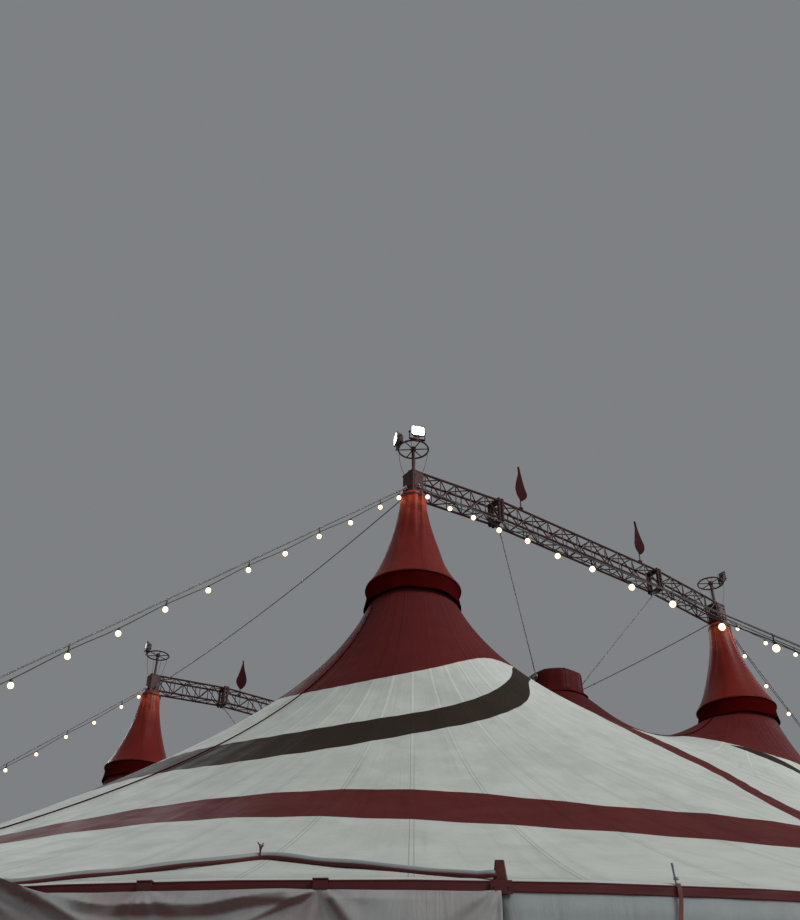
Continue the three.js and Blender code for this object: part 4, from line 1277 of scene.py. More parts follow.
def head_shells(spot):
    """Head box with its edge frames, bolted plates and two lifting lugs."""
    parts = [bar(spot + UP * HEAD_BOTTOM, spot + UP * TRUSS_TOP, 0.316, 0.268, 0.012, reference=(1, 0, 0))]
    for z in (HEAD_BOTTOM + 0.014, TRUSS_TOP - 0.014):
        parts.append(spanned(spot + UP * z, UP * 0.012, 0.328, 0.28, 0.008, reference=(1, 0, 0)))
    for a, b in ((1, 0), (-1, 0), (0, 1), (0, -1)):
        d, e = np.array([a, b, 0.0]), np.array([-b, a, 0.0])
        face = 0.136 if a else 0.160
        middle = UP * ((HEAD_BOTTOM + TRUSS_TOP) / 2)
        plate = spot + d * face + middle
        parts.append(spanned(plate, UP * 0.16, 0.008, 0.19, reference=e))
        parts += [bolt(plate + d * 0.006 + e * s + UP * dz, d, 0.011) for dz in (-0.12, 0.12)
                  for s in (-0.07, 0.07)]
    for s in (-1, 1):
        lug = spot + np.array([s * 0.09, 0, TRUSS_TOP])
        parts.append(bar(lug, lug + UP * 0.06, 0.05, 0.016, reference=(0, 1, 0)))
    return parts


def wheel_shells(spot, bearings):
    """Lamp post and wheel, with the leads that climb to it and a yoke for each lamp."""
    post = [(0, TRUSS_TOP), (0.075, TRUSS_TOP), (0.075, TRUSS_TOP + 0.012), (0.036, TRUSS_TOP + 0.018),
            (0.032, TRUSS_TOP + 0.05), (0, TRUSS_TOP + 0.05)]
    hub = [(0, -0.035), (0.05, -0.035), (0.055, -0.02), (0.055, 0.03), (0.045, 0.045), (0, 0.045)]
    wheel = spot + UP * WHEEL_Z
    parts = [rod(spot + UP * (TRUSS_TOP - 0.01), wheel + UP * 0.045, 0.030, 20),
             moved(turned(post, 20), spot), moved(turned(hub, 20), wheel),
             hoop(circle(0.0175, 12), WHEEL_RADIUS, 0, 64, wheel)]
    parts += [rod(wheel + d * 0.04, wheel + d * WHEEL_RADIUS, 0.011, 10) for d in spokes(6, 0.35)]
    for k, d in enumerate(spokes(4, math.pi / 4)):
        top = wheel + d * (WHEEL_RADIUS - 0.01) - UP * 0.01
        low = spot + d * 0.165 + UP * TRUSS_TOP
        share = shares(12)
        lead = low + (top - low) * share + d * 0.03 * np.sin(np.pi * share) * (1 if k % 2 else -0.6)
        parts.append(carried(circle(0.0045, 6), lead, paint=1))
    for bearing in bearings:
        parts += yoke_steel(spot, bearing)
    return parts


def bale_shells(spot):
    """Bale ring under the roof's own ring, on eight braced arms."""
    ring = spot + UP * BALE_Z
    parts = [hoop(plate_edge(0.034, 0.034, 0.006), 0.67, 0, 64, ring),
             hoop(circle(0.013, 8), 0.722, 0.002, 64, ring)]
    for d in spokes(8):
        parts.append(bar(ring + d * 0.10, ring + d * 0.71, 0.040, 0.040, reference=UP))
        parts.append(bar(ring + d * 0.10 - UP * 0.23, ring + d * 0.50 - UP * 0.015, 0.03, 0.03,
                         reference=UP))
    return parts


def mast_steel(spot, bearings):
    return shaft_shells(spot) + head_shells(spot) + wheel_shells(spot, bearings) + bale_shells(spot)


LAMPS = {"front_left": [("a", 112, True), ("b", 22, True)], "front_right": [("a", -60, True)],
         "rear_left": [("a", 100, False)], "rear_right": [("a", -120, False)]}
HOUSING_SECTIONS = [(-0.073, 0.055, 0.046, 0.012), (-0.073, 0.064, 0.054, 0.012),
                    (-0.066, 0.070, 0.059, 0.012), (0.045, 0.122, 0.103, 0.016),
                    (0.050, 0.133, 0.113, 0.018), (0.072, 0.134, 0.114, 0.018),
                    (0.075, 0.130, 0.110, 0.018), (0.075, 0.120, 0.101, 0.016),
                    (0.062, 0.117, 0.098, 0.016)]
GLASS_SECTIONS = [(0.058, 0.116, 0.097, 0.016), (0.066, 0.116, 0.097, 0.016), (0.071, 0.09, 0.075, 0.02),
                  (0.073, 0.04, 0.034, 0.012)]


def floodlight_shell(spot, bearing):
    """A tapered lamp housing with cooling fins behind, a bezel and its ribbed glass."""
    pivot, out, side = lamp_axes(spot, bearing)

    def boxed(sections, paint):
        """A closed body through chamfered rectangles: each is its depth, half sides and chamfer."""
        rows = []
        for depth, half_side, half_up, chamfer in sections:
            outline = plate_edge(2 * half_side, 2 * half_up, chamfer)
            rows.append(pivot + out * depth + outline[:, :1] * side + outline[:, 1:] * UP)
        body, groups = surface(np.array(rows), around=True, paint=paint)
        return turned_out((body, groups + [under_lid(8, 0, paint), lid(8, len(body) - 8, paint)]))

    parts = [boxed(HOUSING_SECTIONS, 0), boxed(GLASS_SECTIONS, 1)]
    for k in range(7):
        fin = pivot + side * ((k - 3) * 0.016)
        tall = 0.14 + 0.02 * (k % 2)
        parts.append(bar(fin - out * 0.074, fin - out * 0.020, 0.005, tall, 0.001, reference=UP))
    knob = turned([(0, -0.006), (0.020, -0.006), (0.020, 0.006), (0.015, 0.009), (0, 0.009)], 8)
    for s in (-1, 1):
        parts.append(rod(pivot + side * s * 0.09, pivot + side * s * 0.160, 0.0088, 12))
        parts.append(aimed(knob, pivot + side * s * 0.162, side * s))
    return parts


def make_masts():
    for corner, signs in CORNERS.items():
        spot = mast_foot(*signs)
        piece(f"mast_steel_{corner}", mast_steel(spot, [bearing for _, bearing, _ in LAMPS[corner]]),
              [MAST_PAINT, RUBBER], stands_for=f"mast_{corner}", sharp=32)
        for letter, bearing, lit in LAMPS[corner]:
            piece(f"lamp_{corner}_{letter}_housing", floodlight_shell(spot, bearing),
                  [BLACK_PAINT, LENS_LIT if lit else LENS_DARK], body=f"lamp_{corner}_{letter}",
                  stands_for=f"floodlight_{corner}_{letter}", sharp=32)


# Trusses

CHORD_RADIUS = 0.0245
POST_RADIUS = 0.0115
SIDE_BRACE_RADIUS = 0.013
TOP_BRACE_RADIUS = 0.012
JOINT_BOLTS = 5


def chord_height(x):
    """The top chord's height: level over the middle, sloping down to each mast."""
    return TRUSS_TOP - 0.025 + TRUSS_CAMBER * np.minimum((MAST_X - abs(x)) / (MAST_X - JOINT_X), 1)


def truss_shells(start, end, bays, sy, joints):
    """Four round chords with upright posts and alternate diagonals on both sides, and zigzags above
    and below; joints are the ends that carry a bolted frame."""
    def at(x, side, low):
        return np.array([x, sy * MAST_Y + side * TRUSS_SIDE, chord_height(x) - low * TRUSS_DROP])

    inset = np.sign(end - start) * 0.03
    inner = np.linspace(start + inset, end - inset, bays + 1)
    parts = [rod(at(start, s, low), at(end, s, low), CHORD_RADIUS, 14) for s in (-1, 1) for low in (0, 1)]
    for k in range(bays + 1):
        for s in (-1, 1):
            parts.append(rod(at(inner[k], s, 0), at(inner[k], s, 1), POST_RADIUS, 8))
        for low in (0, 1):
            parts.append(rod(at(inner[k], -1, low), at(inner[k], 1, low), POST_RADIUS, 8))
    for k in range(bays):
        a, b = inner[k], inner[k + 1]
        for s in (-1, 1):
            parts.append(rod(at(a, s, k % 2), at(b, s, 1 - k % 2), SIDE_BRACE_RADIUS, 8))
        for low in (0, 1):
            flip = 1 if (k + low) % 2 else -1
            parts.append(rod(at(a, -flip, low), at(b, flip, low), TOP_BRACE_RADIUS, 8))
    for x, inward in joints:
        mid = x + inward * 0.042
        for s in (-1, 1):
            low_end, high_end = at(mid, s, 1) - UP * 0.055, at(mid, s, 0) + UP * 0.055
            parts.append(bar(low_end, high_end, 0.052, 0.056, 0.007, reference=(0, 1, 0)))
        for low, dz in ((0, 0.03), (1, -0.03)):
            near, far = at(mid, -1, low) + [0, -0.03, dz], at(mid, 1, low) + [0, 0.03, dz]
            parts.append(bar(near, far, 0.052, 0.05, 0.007, reference=UP))
        for s in (-1, 1):
            for z in np.linspace(0.02, TRUSS_DROP - 0.02, JOINT_BOLTS):
                parts.append(bolt(at(mid, s, 0) + [0, s * 0.031, -z], (0, s, 0), 0.012))
            for z in (0.12, TRUSS_DROP - 0.12):
                parts.append(rod(at(x, s, 0) + [inward * 0.02, 0, -z], at(x, s, 0) + [0, 0, -z], 0.013, 8))
    return parts


def make_trusses():
    head, joint = MAST_X - HEAD_HALF - 0.0005, JOINT_X + 0.0004
    for side, sy in ENDS.items():
        lattices = {hand: (sx * head, sx * joint, 5, sy, [(sx * joint, sx)]) for hand, sx in HANDS.items()}
        lattices["middle"] = (-JOINT_X, JOINT_X, 11, sy, [(-JOINT_X, 1), (JOINT_X, -1)])
        for length, sizes in lattices.items():
            piece(f"truss_lattice_{side}_{length}", truss_shells(*sizes), [TRUSS_PAINT],
                  stands_for=f"truss_{side}_{length}", sharp=40)


make_masts()
make_trusses()


# Wire ropes: mast guys with their festoons, ties between the heads, and vent cables

def wire(path, radius):
    return carried(circle(radius, 10), path, uv_turns=True)


def thimble(place, ahead, paint=0):
    """A teardrop loop of rope round a pin, with its shackle bow."""
    ahead = unit(np.asarray(ahead, float))
    side = unit(np.cross(ahead, [0, 0, 1.0])) if abs(ahead[2]) < 0.95 else np.array([1.0, 0, 0])
    up = np.cross(side, ahead)
    t = turns(20)[:, None]
    loop = place + ahead * (0.045 * np.cos(t) + 0.012 * np.cos(2 * t)) + up * (0.027 * np.sin(t))
    pin = place - ahead * 0.030
    return [carried(circle(0.010, 8), loop, closed=True, reference=side, paint=paint),
            rod(pin - side * 0.032, pin + side * 0.032, 0.010, 10, paint)]


BULB_LINE = [(0.0, -0.112), (0.023, -0.106), (0.039, -0.086), (0.041, -0.066), (0.033, -0.045),
             (0.017, -0.031), (0.0, -0.028)]
SOCKET_LINE = [(0.0, -0.034), (0.0175, -0.034), (0.0185, 0.004), (0.012, 0.012), (0.0, 0.014)]


def festoon(at, first, spacing, count):
    """Sockets and lit bulbs at even steps along the lead, each hanging straight down with a slight sway."""
    sockets, bulbs = [], []
    for k in range(count):
        place = at(first + spacing * k)
        sway = unit(np.array([chance.normal(0, SWAY), chance.normal(0, SWAY), 1.0]))
        sockets.append(aimed(turned(SOCKET_LINE, 8, 3), place, sway))
        bulbs.append(aimed(turned(BULB_LINE, 8, 4), place, sway))
    return sockets + bulbs


FIRST_BULB = {"side": 0.74, "end": 0.45}
BULB_STEP = {"side": 0.612, "end": 0.617}
HIGH_BULB = 0.33
LEAD_SPAN = (0.30, 10.6)
LAST_BULB = 10.45
SOCKET_DROP = 0.012
SWAY = 0.08


def turnbuckle(on_wire, run, side):
    """A screw between two eyes in an open frame, near the foot of a guy."""
    ends = (run - 0.60, run - 0.24)
    parts = [rod(on_wire(run - 0.62), on_wire(run - 0.12), 0.010, 10, 1)]
    for s in (-1, 1):
        parts.append(rod(*(on_wire(end) + side * 0.024 * s for end in ends), 0.008, 8, 1))
    for end in ends:
        parts.append(rod(on_wire(end) - side * 0.034, on_wire(end) + side * 0.034, 0.017, 12, 1))
    return parts


def anchor(plate, side, ahead):
    """A ground plate with its lug, and two driven spikes."""
    parts = [spanned(plate + UP * 0.030, side * 0.23, 0.19, 0.058, 0.010, paint=5, reference=UP),
             bar(plate + UP * 0.05, plate + UP * 0.178, 0.03, 0.058, 0.006, paint=5, reference=ahead)]
    spike = turned([(0, 0.0), (0.016, 0.0), (0.016, 0.10), (0.026, 0.102), (0.028, 0.118), (0.020, 0.130),
                    (0, 0.132)], 14, 5)
    return parts + [moved(spike, plate + side * s * 0.17) for s in (-1, 1)]


def guy_shells(sx, sy, way):
    """One mast guy: wire rope from the head to its ground plate, a turnbuckle above the plate, and a
    rubber lead that hangs in short dips from its ties, with bulbs below."""
    ahead = np.array([sx, 0, 0.0]) if way == "side" else np.array([0, sy, 0.0])
    mast = mast_foot(sx, sy)
    run, top, start = GUY_RUN[way], GUY_HEAD_Z, HEAD_HALF + 0.0003
    slope = (top - 0.06) / (run - start)
    down_line = unit(ahead - UP * slope)
    side = np.cross(ahead, UP)

    def on_wire(out):
        out = np.asarray(out, float)
        return mast + np.multiply.outer(out, ahead) + np.multiply.outer(top - slope * (out - start), UP)

    spacing, first = BULB_STEP[way], FIRST_BULB[way]

    def on_lead(out):
        step = (np.asarray(out, float) - first) / (spacing * 2)
        dip = 0.028 * np.sin(np.pi * step) ** 2
        rise = ramp(0.62 - np.asarray(out), 0.4) * (FESTOON_DROP - 0.035)
        return on_wire(out) - np.multiply.outer(FESTOON_DROP - 0.012 + dip - rise, UP)

    def socket_place(out):
        return on_lead(out) - UP * SOCKET_DROP

    parts = [wire(on_wire(np.linspace(start + 0.06, run - 0.62, 60)), 0.0115)]
    parts += thimble(on_wire(start + 0.05), down_line, 1)
    lug = on_wire(start - 0.002)
    parts.append(bar(lug, lug + ahead * 0.045, 0.016, 0.075, reference=UP, paint=1))
    for grip in (start + 0.16, start + 0.22, start + 0.28):
        parts.append(bar(on_wire(grip), on_wire(grip + 0.022), 0.030, 0.040, 0.008, paint=1))
    parts.append(carried(circle(0.0075, 6), on_lead(np.linspace(*LEAD_SPAN, 170)), paint=2))
    count = int((LAST_BULB - first) / spacing) + 1
    parts += festoon(socket_place, first, spacing, count)
    if way == "side":
        parts += festoon(socket_place, HIGH_BULB, spacing, 1)
    for k in range(0, count, 2):
        tie = first + spacing * k
        parts.append(bar(on_wire(tie) + UP * 0.016, on_lead(tie) - UP * 0.010, 0.012, 0.022, 0.003,
                         paint=2))
    parts += turnbuckle(on_wire, run, side)
    parts += thimble(on_wire(run - 0.08), down_line, 1)
    return parts + anchor(mast + ahead * run, side, ahead)


TIE_CLAMPS = (1.76, 1.82)
VENT_LUG_X = 0.58
VENT_LUG_Z = 9.79


def tie_shells(sx):
    """A rope between two mast heads, sagging as a parabola, with grips at its ends and two clamps."""
    reach = MAST_Y - HEAD_HALF - 0.0003
    y = np.linspace(-reach + 0.05, reach - 0.05, 60)

    def at(y):
        z = GUY_HEAD_Z - TIE_SAG * (1 - (y / reach) ** 2)
        return np.stack([np.full_like(y, sx * MAST_X), y, z], -1)

    parts = [wire(at(y), 0.0115)]
    for s in (-1, 1):
        end = at(np.array([s * (reach - 0.045)]))[0]
        parts += thimble(end, (0, -s, -0.1), 1)
        parts.append(spanned(end + [0, s * 0.025, 0], np.array([0, s * 0.020, 0]), 0.016, 0.06,
                             reference=UP, paint=1))
        for off in TIE_CLAMPS:
            a = at(np.array([s * off, s * (off + 0.028)]))
            parts.append(bar(a[0], a[1], 0.034, 0.050, 0.008, paint=1))
            parts.append(bolt(a[0] + [0, 0, 0.03], (0, 0, 1), 0.010, 1))
        for off in (0.14, 0.20, 0.26):
            a = at(np.array([s * (reach - off), s * (reach - off - 0.022)]))
            parts.append(bar(a[0], a[1], 0.028, 0.038, 0.007, paint=1))
    return parts


def vent_cable_shells(sx, sy):
    """A hanger from the truss joint down to the vent's lug, with a shackle at both ends."""
    foot = chord_height(JOINT_X) - TRUSS_DROP - 0.055
    top = np.array([sx * (JOINT_X - 0.045), sy * MAST_Y, foot - 0.03])
    low = np.array([sx * VENT_LUG_X, sy * (VENT_Y + 0.06), VENT_LUG_Z + 0.02])
    ahead = unit(low - top)
    share = np.linspace(0.02, 0.985, 30)[:, None]
    parts = [wire(top + (low - top) * share, 0.0105)]
    parts.append(bar(top + [0, 0, 0.03], top + [0, 0, -0.015], 0.06, 0.012, reference=(0, 1, 0), paint=1))
    parts += thimble(top + ahead * 0.03, ahead, 1)
    parts += thimble(low - ahead * 0.02, -ahead, 1)
    for end, way in ((top, ahead), (low, -ahead)):
        for off in (0.13, 0.18, 0.23):
            parts.append(bar(end + way * off, end + way * (off + 0.02), 0.026, 0.036, 0.006, paint=1))
    lug = [[low[0], sy * (VENT_Y + off), z] for off, z in ((0.025, VENT_LUG_Z), (0.09, VENT_LUG_Z + 0.01))]
    parts.append(bar(*lug, 0.05, 0.05, 0.01, paint=1))
    return parts


def make_ropes():
    steel = [WIRE_ROPE, ZINC, RUBBER, RUBBER, BULB_GLASS, STAKE_STEEL]

    def rope(name, shells, stands_for):
        piece(name, shells, steel, stands_for=stands_for, sharp=50)

    for corner, (sx, sy) in CORNERS.items():
        for way in GUY_RUN:
            rope(f"guy_rope_{way}_{corner}", guy_shells(sx, sy, way), f"mast_guy_{way}_{corner}")
        rope(f"vent_hanger_{corner}", vent_cable_shells(sx, sy), f"vent_cable_{corner}")
    for hand, sx in HANDS.items():
        rope(f"mast_tie_rope_{hand}", tie_shells(sx), f"mast_tie_{hand}")


make_ropes()


# Vent caps

HOOD_SIDES = 96
HOOD_LINE = [(0.395, 9.0), (0.42, 8.985), (0.42, 9.2), (0.42, 9.424), (0.58, 9.418), (0.612, 9.405),
             (0.621, 9.410), (0.618, 9.423), (0.588, 9.45), (0.556, 9.478), (0.543, 9.50), (0.538, 9.57),
             (0.533, 9.75), (0.530, 9.872), (0.524, 9.888), (0.495, 9.914), (0.463, 9.938), (0.450, 9.944),
             (0.41, 9.947), (0.2, 9.949), (0.04, 9.950)]
THROAT_LINE = [(0.395, 9.85), (0.36, 9.87), (0.04, 9.875)]
SEAM_TRAIL = [(0.640, 9.418), (0.606, 9.45), (0.570, 9.487), (0.556, 9.57), (0.547, 9.876), (0.508, 9.914),
              (0.455, 9.943), (0.2, 9.947)]
SKIRT_TOP = 9.434
SKIRT_REACH = 0.56


def octagon_ring(apothem, z, sy):
    """An eight-sided ring of points with blunted corners."""
    t = turns(HOOD_SIDES)
    k = np.mod(t + np.pi / 8, np.pi / 4) - np.pi / 8
    radius = np.minimum(apothem / np.cos(k), apothem / math.cos(math.pi / 8) - 0.03)
    return np.stack([radius * np.cos(t), sy * VENT_Y + radius * np.sin(t), np.full(HOOD_SIDES, z)], -1)


def vent_shells(sy):
    """A red cap: flared skirt, eight-sided drum, bevelled lid with a seam ridge, and the throat below."""
    outer = [octagon_ring(apothem, z, sy) for apothem, z in HOOD_LINE]
    inner = [octagon_ring(apothem, z, sy) for apothem, z in THROAT_LINE]
    _, groups = surface(np.array(outer), around=True)
    points = np.vstack(outer + inner)
    order = [0] + [len(outer) + k for k in range(len(inner))]
    j = np.arange(HOOD_SIDES)
    after = (j + 1) % HOOD_SIDES
    starts = [row * HOOD_SIDES for row in order]
    inner_faces = np.vstack([np.stack([b + j, b + after, a + after, a + j], -1)
                             for a, b in zip(starts[:-1], starts[1:])])
    grid_uv = np.tile(np.array([[0, 0], [0.1, 0], [0.1, 0.1], [0, 0.1]]), (len(inner_faces), 1, 1))
    groups = groups + [(inner_faces, grid_uv, 0), lid(HOOD_SIDES, (len(outer) - 1) * HOOD_SIDES),
                       under_lid(HOOD_SIDES, order[-1] * HOOD_SIDES)]
    parts = [turned_out((points, groups))]
    middle = np.array([0, sy * VENT_Y, 0])
    for out in spokes(8, math.pi / 8):
        path = smooth_line([middle + out * r + UP * (z + 0.001) for r, z in SEAM_TRAIL], 24)
        parts.append(carried(circle(0.0045, 8), path))
    for sx in (-1, 1):
        lug = middle + UP * VENT_LUG_Z
        near, plate, far = (lug + [sx * x, 0, 0] for x in (0.53, 0.541, 0.598))
        parts.append(bar(near, far, 0.050, 0.060, 0.008, paint=1, reference=UP))
        parts.append(bar(plate - UP * 0.045, plate + UP * 0.055, 0.016, 0.11, 0.004, paint=1,
                         reference=(0, 1, 0)))
    return parts


def collar_skin(sy):
    """The collar that rises from the roof to the hood: its height is the roof's, drawn toward the
    skirt by the cube of the share of the way in, with shallow tucks."""
    turn = turns(112)
    share = (np.linspace(0, 1, 22) ** 0.8)[:, None]
    radius = COLLAR_REACH - (COLLAR_REACH - SKIRT_REACH) * share
    x, y = radius * np.cos(turn), sy * VENT_Y + radius * np.sin(turn)
    draw = share ** 3
    z = roof_height(x, y) + 0.008
    z = z + (SKIRT_TOP - z) * draw - 0.008 * np.cos(8 * turn) * share * (1 - share) * 4
    uv = np.stack(np.meshgrid(np.linspace(0, 6.0, 113), np.linspace(0, 1.3, 22)), -1)
    return surface(np.stack([x, y, z], -1), around=True, uv=uv)


def make_vents():
    for side, sy in ENDS.items():
        hood = piece(f"vent_hood_{side}", vent_shells(sy), [VENT_VINYL, ZINC],
                     stands_for=f"vent_cap_{side}", sharp=40)
        collar = piece(f"vent_collar_{side}", collar_skin(sy), [VENT_VINYL],
                       thickness=VINYL_THICK)
        faced(collar, upward=True)


make_vents()


# Flags

FLAG_X = 1.74
FLAG_TALL = 1.055


def flag_foot(sx, sy):
    return np.array([sx * FLAG_X, sy * (MAST_Y + TRUSS_SIDE), TRUSS_TOP + TRUSS_CAMBER])


def flag_cloth_shell(sx, sy, seed):
    """Limp cloth hung from the pole's tip: each row swings from the pole to the right, back past it and
    to the right again as a sine, inside a drop outline that is widest low down."""
    x, y, base = flag_foot(sx, sy)
    u = np.linspace(0, 1, 48)[None, :]
    v = shares(40)
    shape = np.interp(v, [0, 0.15, 0.35, 0.55, 0.72, 0.86, 0.95, 1],
                      [0.06, 0.17, 0.42, 0.74, 1.0, 0.88, 0.52, 0.22])
    shape = (shape + np.roll(shape, 1, 0) + np.roll(shape, -1, 0)) / 3
    shape[0], shape[-1] = 0.05, 0.2
    swing = np.sin(2.5 * np.pi * u + 0.35 * np.sin(4 * v + seed) * u)
    off_x = np.where(swing > 0, 0.150, 0.165) * swing * shape + 0.008 * np.sin(9 * v + seed) * shape
    off_y = -0.013 - 0.042 * u * (0.35 + 0.65 * shape) + 0.010 * np.sin(11 * u + 5 * v + seed) * shape * u
    z = base + 1.046 - 0.850 * v + 0.03 * u * np.sin(np.pi * v) * np.cos(3 * u + seed)
    points = np.stack([x + off_x, y + off_y, np.broadcast_to(z, off_x.shape)], -1)
    uv = np.stack(np.broadcast_arrays(u * 0.6, v * 0.9), -1)
    return surface(points, uv=uv)


def make_flags():
    for index, (corner, (sx, sy)) in enumerate(CORNERS.items()):
        foot = flag_foot(sx, sy)
        tip = turned([(0, 0), (0.016, 0.002), (0.019, 0.014), (0.014, 0.026), (0, 0.030)], 12)
        pole = [rod(foot, foot + UP * FLAG_TALL, 0.0125, 12), moved(tip, foot + UP * (FLAG_TALL - 0.025)),
                spanned(foot + UP * 0.022, np.array([0.035, 0, 0]), 0.058, 0.044, 0.006, reference=UP)]
        pole += [bolt(foot + [s * 0.024, 0, 0.047], UP, 0.009) for s in (-1, 1)]
        pole.append(bolt(foot + [0, 0.03, 0.03], (0, 1, 0), 0.009))
        steel = piece(f"flag_pole_{corner}", pole, [TRUSS_PAINT],
                      stands_for=f"flag_{corner}", sharp=40)
        flag = piece(f"flag_cloth_{corner}", flag_cloth_shell(sx, sy, index * 1.4 + 0.4), [FLAG_CLOTH],
                     thickness=FLAG_THICK)


make_flags()


# Eave: band, poles, straps, caps, blocks and pins

SECTORS = {"front": 0, "left": 90, "rear": 180, "right": 270}
BAND_LINE = [(15.216, 3.336), (15.240, 3.333), (15.266, 3.322), (15.288, 3.307), (15.300, 3.298),
             (15.3015, 3.285), (15.3005, 3.265), (15.302, 3.245), (15.303, 3.234), (15.299, 3.229),
             (15.289, 3.231), (15.288, 3.25), (15.286, 3.275), (15.27, 3.30), (15.24, 3.322),
             (15.218, 3.326)]
MAIN_POLE_REACH = 15.2535
THIN_POLE_REACH = 15.262
MAIN_POLE_LINE = [(0, 0.0), (0.085, 0.0), (0.085, 0.008), (0.036, 0.012), (0.034, 0.05), (0.030, 0.055),
                  (0.030, 3.25), (0.026, 3.265), (0, 3.27)]
THIN_POLE_LINE = [(0, 0.0), (0.045, 0.0), (0.045, 0.006), (0.019, 0.010), (0.017, 0.03), (0.017, 3.265),
                  (0, 3.27)]
STAKE_LINE = [(0, 0.0), (0.017, 0.0), (0.017, 0.235), (0.026, 0.240), (0.030, 0.252), (0.024, 0.262),
              (0, 0.264)]
STAKE_REACH = 17.5
STRAP_LOW = 0.19


def band_ring(degrees, radius):
    """A point on the eave line, which runs straight between neighbouring third poles."""
    gore = math.radians(GORE_DEG)
    across = np.mod(np.radians(degrees) + gore / 2, gore) - gore / 2
    across = gore / 2 - np.abs(across)
    chord = math.cos(gore / 2) / np.cos(across)
    return on_compass(degrees, radius * chord)


def band_shells(middle):
    """The band over a quarter of the eave: a lapped strip with a rolled top edge and a hem."""
    degrees = np.linspace(middle - 44.999, middle + 44.999, 313)
    rows = []
    for r, z in BAND_LINE:
        x, y = band_ring(degrees, r)
        ripple = 0.0025 * np.sin(np.radians(degrees) * 153 + z * 30) * (1 if z < 3.28 else 0)
        scale = 1 + ripple / r
        rows.append(np.stack([x * scale, y * scale, np.full_like(x, z)], -1))
    grid = np.array(rows).transpose(1, 0, 2)
    flat, groups = surface(grid, around=True)
    n = len(BAND_LINE)
    faces, corners, _ = groups[0]
    over = np.arange(len(faces)) % n < 3
    groups = [(faces[~over], corners[~over], 0), (faces[over], corners[over], 1)]
    shells = [turned_out((flat, groups + [under_lid(n, 0), lid(n, len(flat) - n)]))]
    for z, r in ((3.297, 15.3020), (3.238, 15.3055)):
        x, y = band_ring(degrees, r)
        shells.append(carried(circle(0.0030, 6), np.stack([x, y, np.full_like(x, z)], -1), reference=UP))
    return shells


def is_jamb(step):
    """Main poles stand at odd half bays; those beside the doorways are 5, 7, and their reflections."""
    quarter = abs(step) % 26
    return quarter in (5, 7, 19, 21)


def bearing_gap(degrees, other):
    """The angle from one compass point to another the short way round, from -180 to 180."""
    return (degrees - other + 180) % 360 - 180


def eave_posts(middle):
    """Angles of the main and thin poles in a quarter: main ones at odd half bays, thin ones at the
    thirds between."""
    mains, thins = {}, {}

    def keep(found, degrees, value):
        turn = degrees % 360
        if -45 <= bearing_gap(degrees, middle) < 45 and not any(abs(turn - other) < 0.1 for other in found):
            found[turn] = value

    for step in range(-51, 104, 2):
        degrees = step * HALF_BAY
        keep(mains, degrees, step)
        keep(thins, degrees + GORE_DEG, step)
        keep(thins, degrees + 2 * GORE_DEG, step)
    return [(step, turn) for turn, step in mains.items()], list(thins)


def post_axes(degrees):
    """The level directions out from the tent and along the eave at a compass point."""
    x, y = on_compass(degrees, 1.0)
    out = np.array([float(x), float(y), 0])
    return out, np.cross(UP, out)


def jamb_cap(out, side):
    """A tapered cap on a jamb pole's head, with a bolted plate."""
    foot = out * (MAIN_POLE_REACH + 0.008) + UP * (EAVE_Z - 0.05)
    plate = foot + out * 0.045 + UP * 0.01
    path = [foot, foot + UP * 0.0234, foot + UP * 0.195]
    parts = [carried(plate_edge(0.112, 0.050, 0.012), path, scale=[1.0, 0.98, 0.58], reference=out),
             spanned(plate, side * 0.075, 0.012, 0.09, 0.003, reference=UP)]
    return parts + [bolt(plate + out * 0.007 + side * s * 0.05, out, 0.009) for s in (-1, 1)]


def storm_strap(out, side):
    """A slack strap from a main pole's head to a stake, with its ratchet, hook and stake."""
    head = out * (MAIN_POLE_REACH + 0.054) + UP * (EAVE_Z - 0.025)
    foot = out * (STAKE_REACH - 0.03) + UP * STRAP_LOW
    share = shares(14)
    path = head + (foot - head) * share - UP * 0.03 * np.sin(np.pi * share)
    strap = carried(plate_edge(0.048, 0.004, 0.0012), path, reference=side, paint=1)
    ratchet = head + (foot - head) * 0.62 - UP * 0.02
    way = unit(foot - head)
    ring = circle(0.034, 16)
    hook = out * (STAKE_REACH - 0.01) + UP * STRAP_LOW + ring[:, :1] * out + ring[:, 1:] * side
    return [spanned(ratchet, way * 0.09, 0.062, 0.030, 0.006, reference=side, paint=2),
            rod(ratchet - side * 0.045, ratchet + side * 0.045, 0.014, 12, 2),
            aimed(turned(STAKE_LINE, 14, 3), out * STAKE_REACH, UP),
            carried(circle(0.007, 8), hook, closed=True, reference=UP, paint=2)], strap


def door_block(out, side):
    """A pulley block over a doorway's third, which a curtain hangs from."""
    block = out * 15.312 + UP * 3.266
    return [spanned(block, side * 0.050, 0.036, 0.066, 0.008, reference=UP),
            spanned(block + UP * 0.036, side * 0.055, 0.046, 0.010, 0.003, reference=UP)]


def thin_pole(out, side):
    """A thin pole with the pin that goes through the roof's edge, and the strap tied to it."""
    foot = out * THIN_POLE_REACH
    pin = foot + out * 0.012
    washer = turned([(0, -0.006), (0.020, -0.006), (0.020, 0.006), (0.014, 0.010), (0, 0.010)], 12, 2)
    parts = [moved(turned(THIN_POLE_LINE, 12), foot),
             rod(pin + UP * 3.26, pin + UP * 3.455 - side * 0.015, 0.0085, 10, 2),
             aimed(washer, pin + UP * 3.352, UP)]
    top = foot + out * 0.050 + UP * 3.315
    low = out * 15.34 + UP * 2.72 - side * 0.10
    path = smooth_line([top - out * 0.01, top + out * 0.004 - UP * 0.06,
                        top - UP * 0.16 - side * 0.01 + out * 0.004, low], 16)
    return parts, carried(plate_edge(0.030, 0.003, 0.0010), path, reference=out, paint=1)


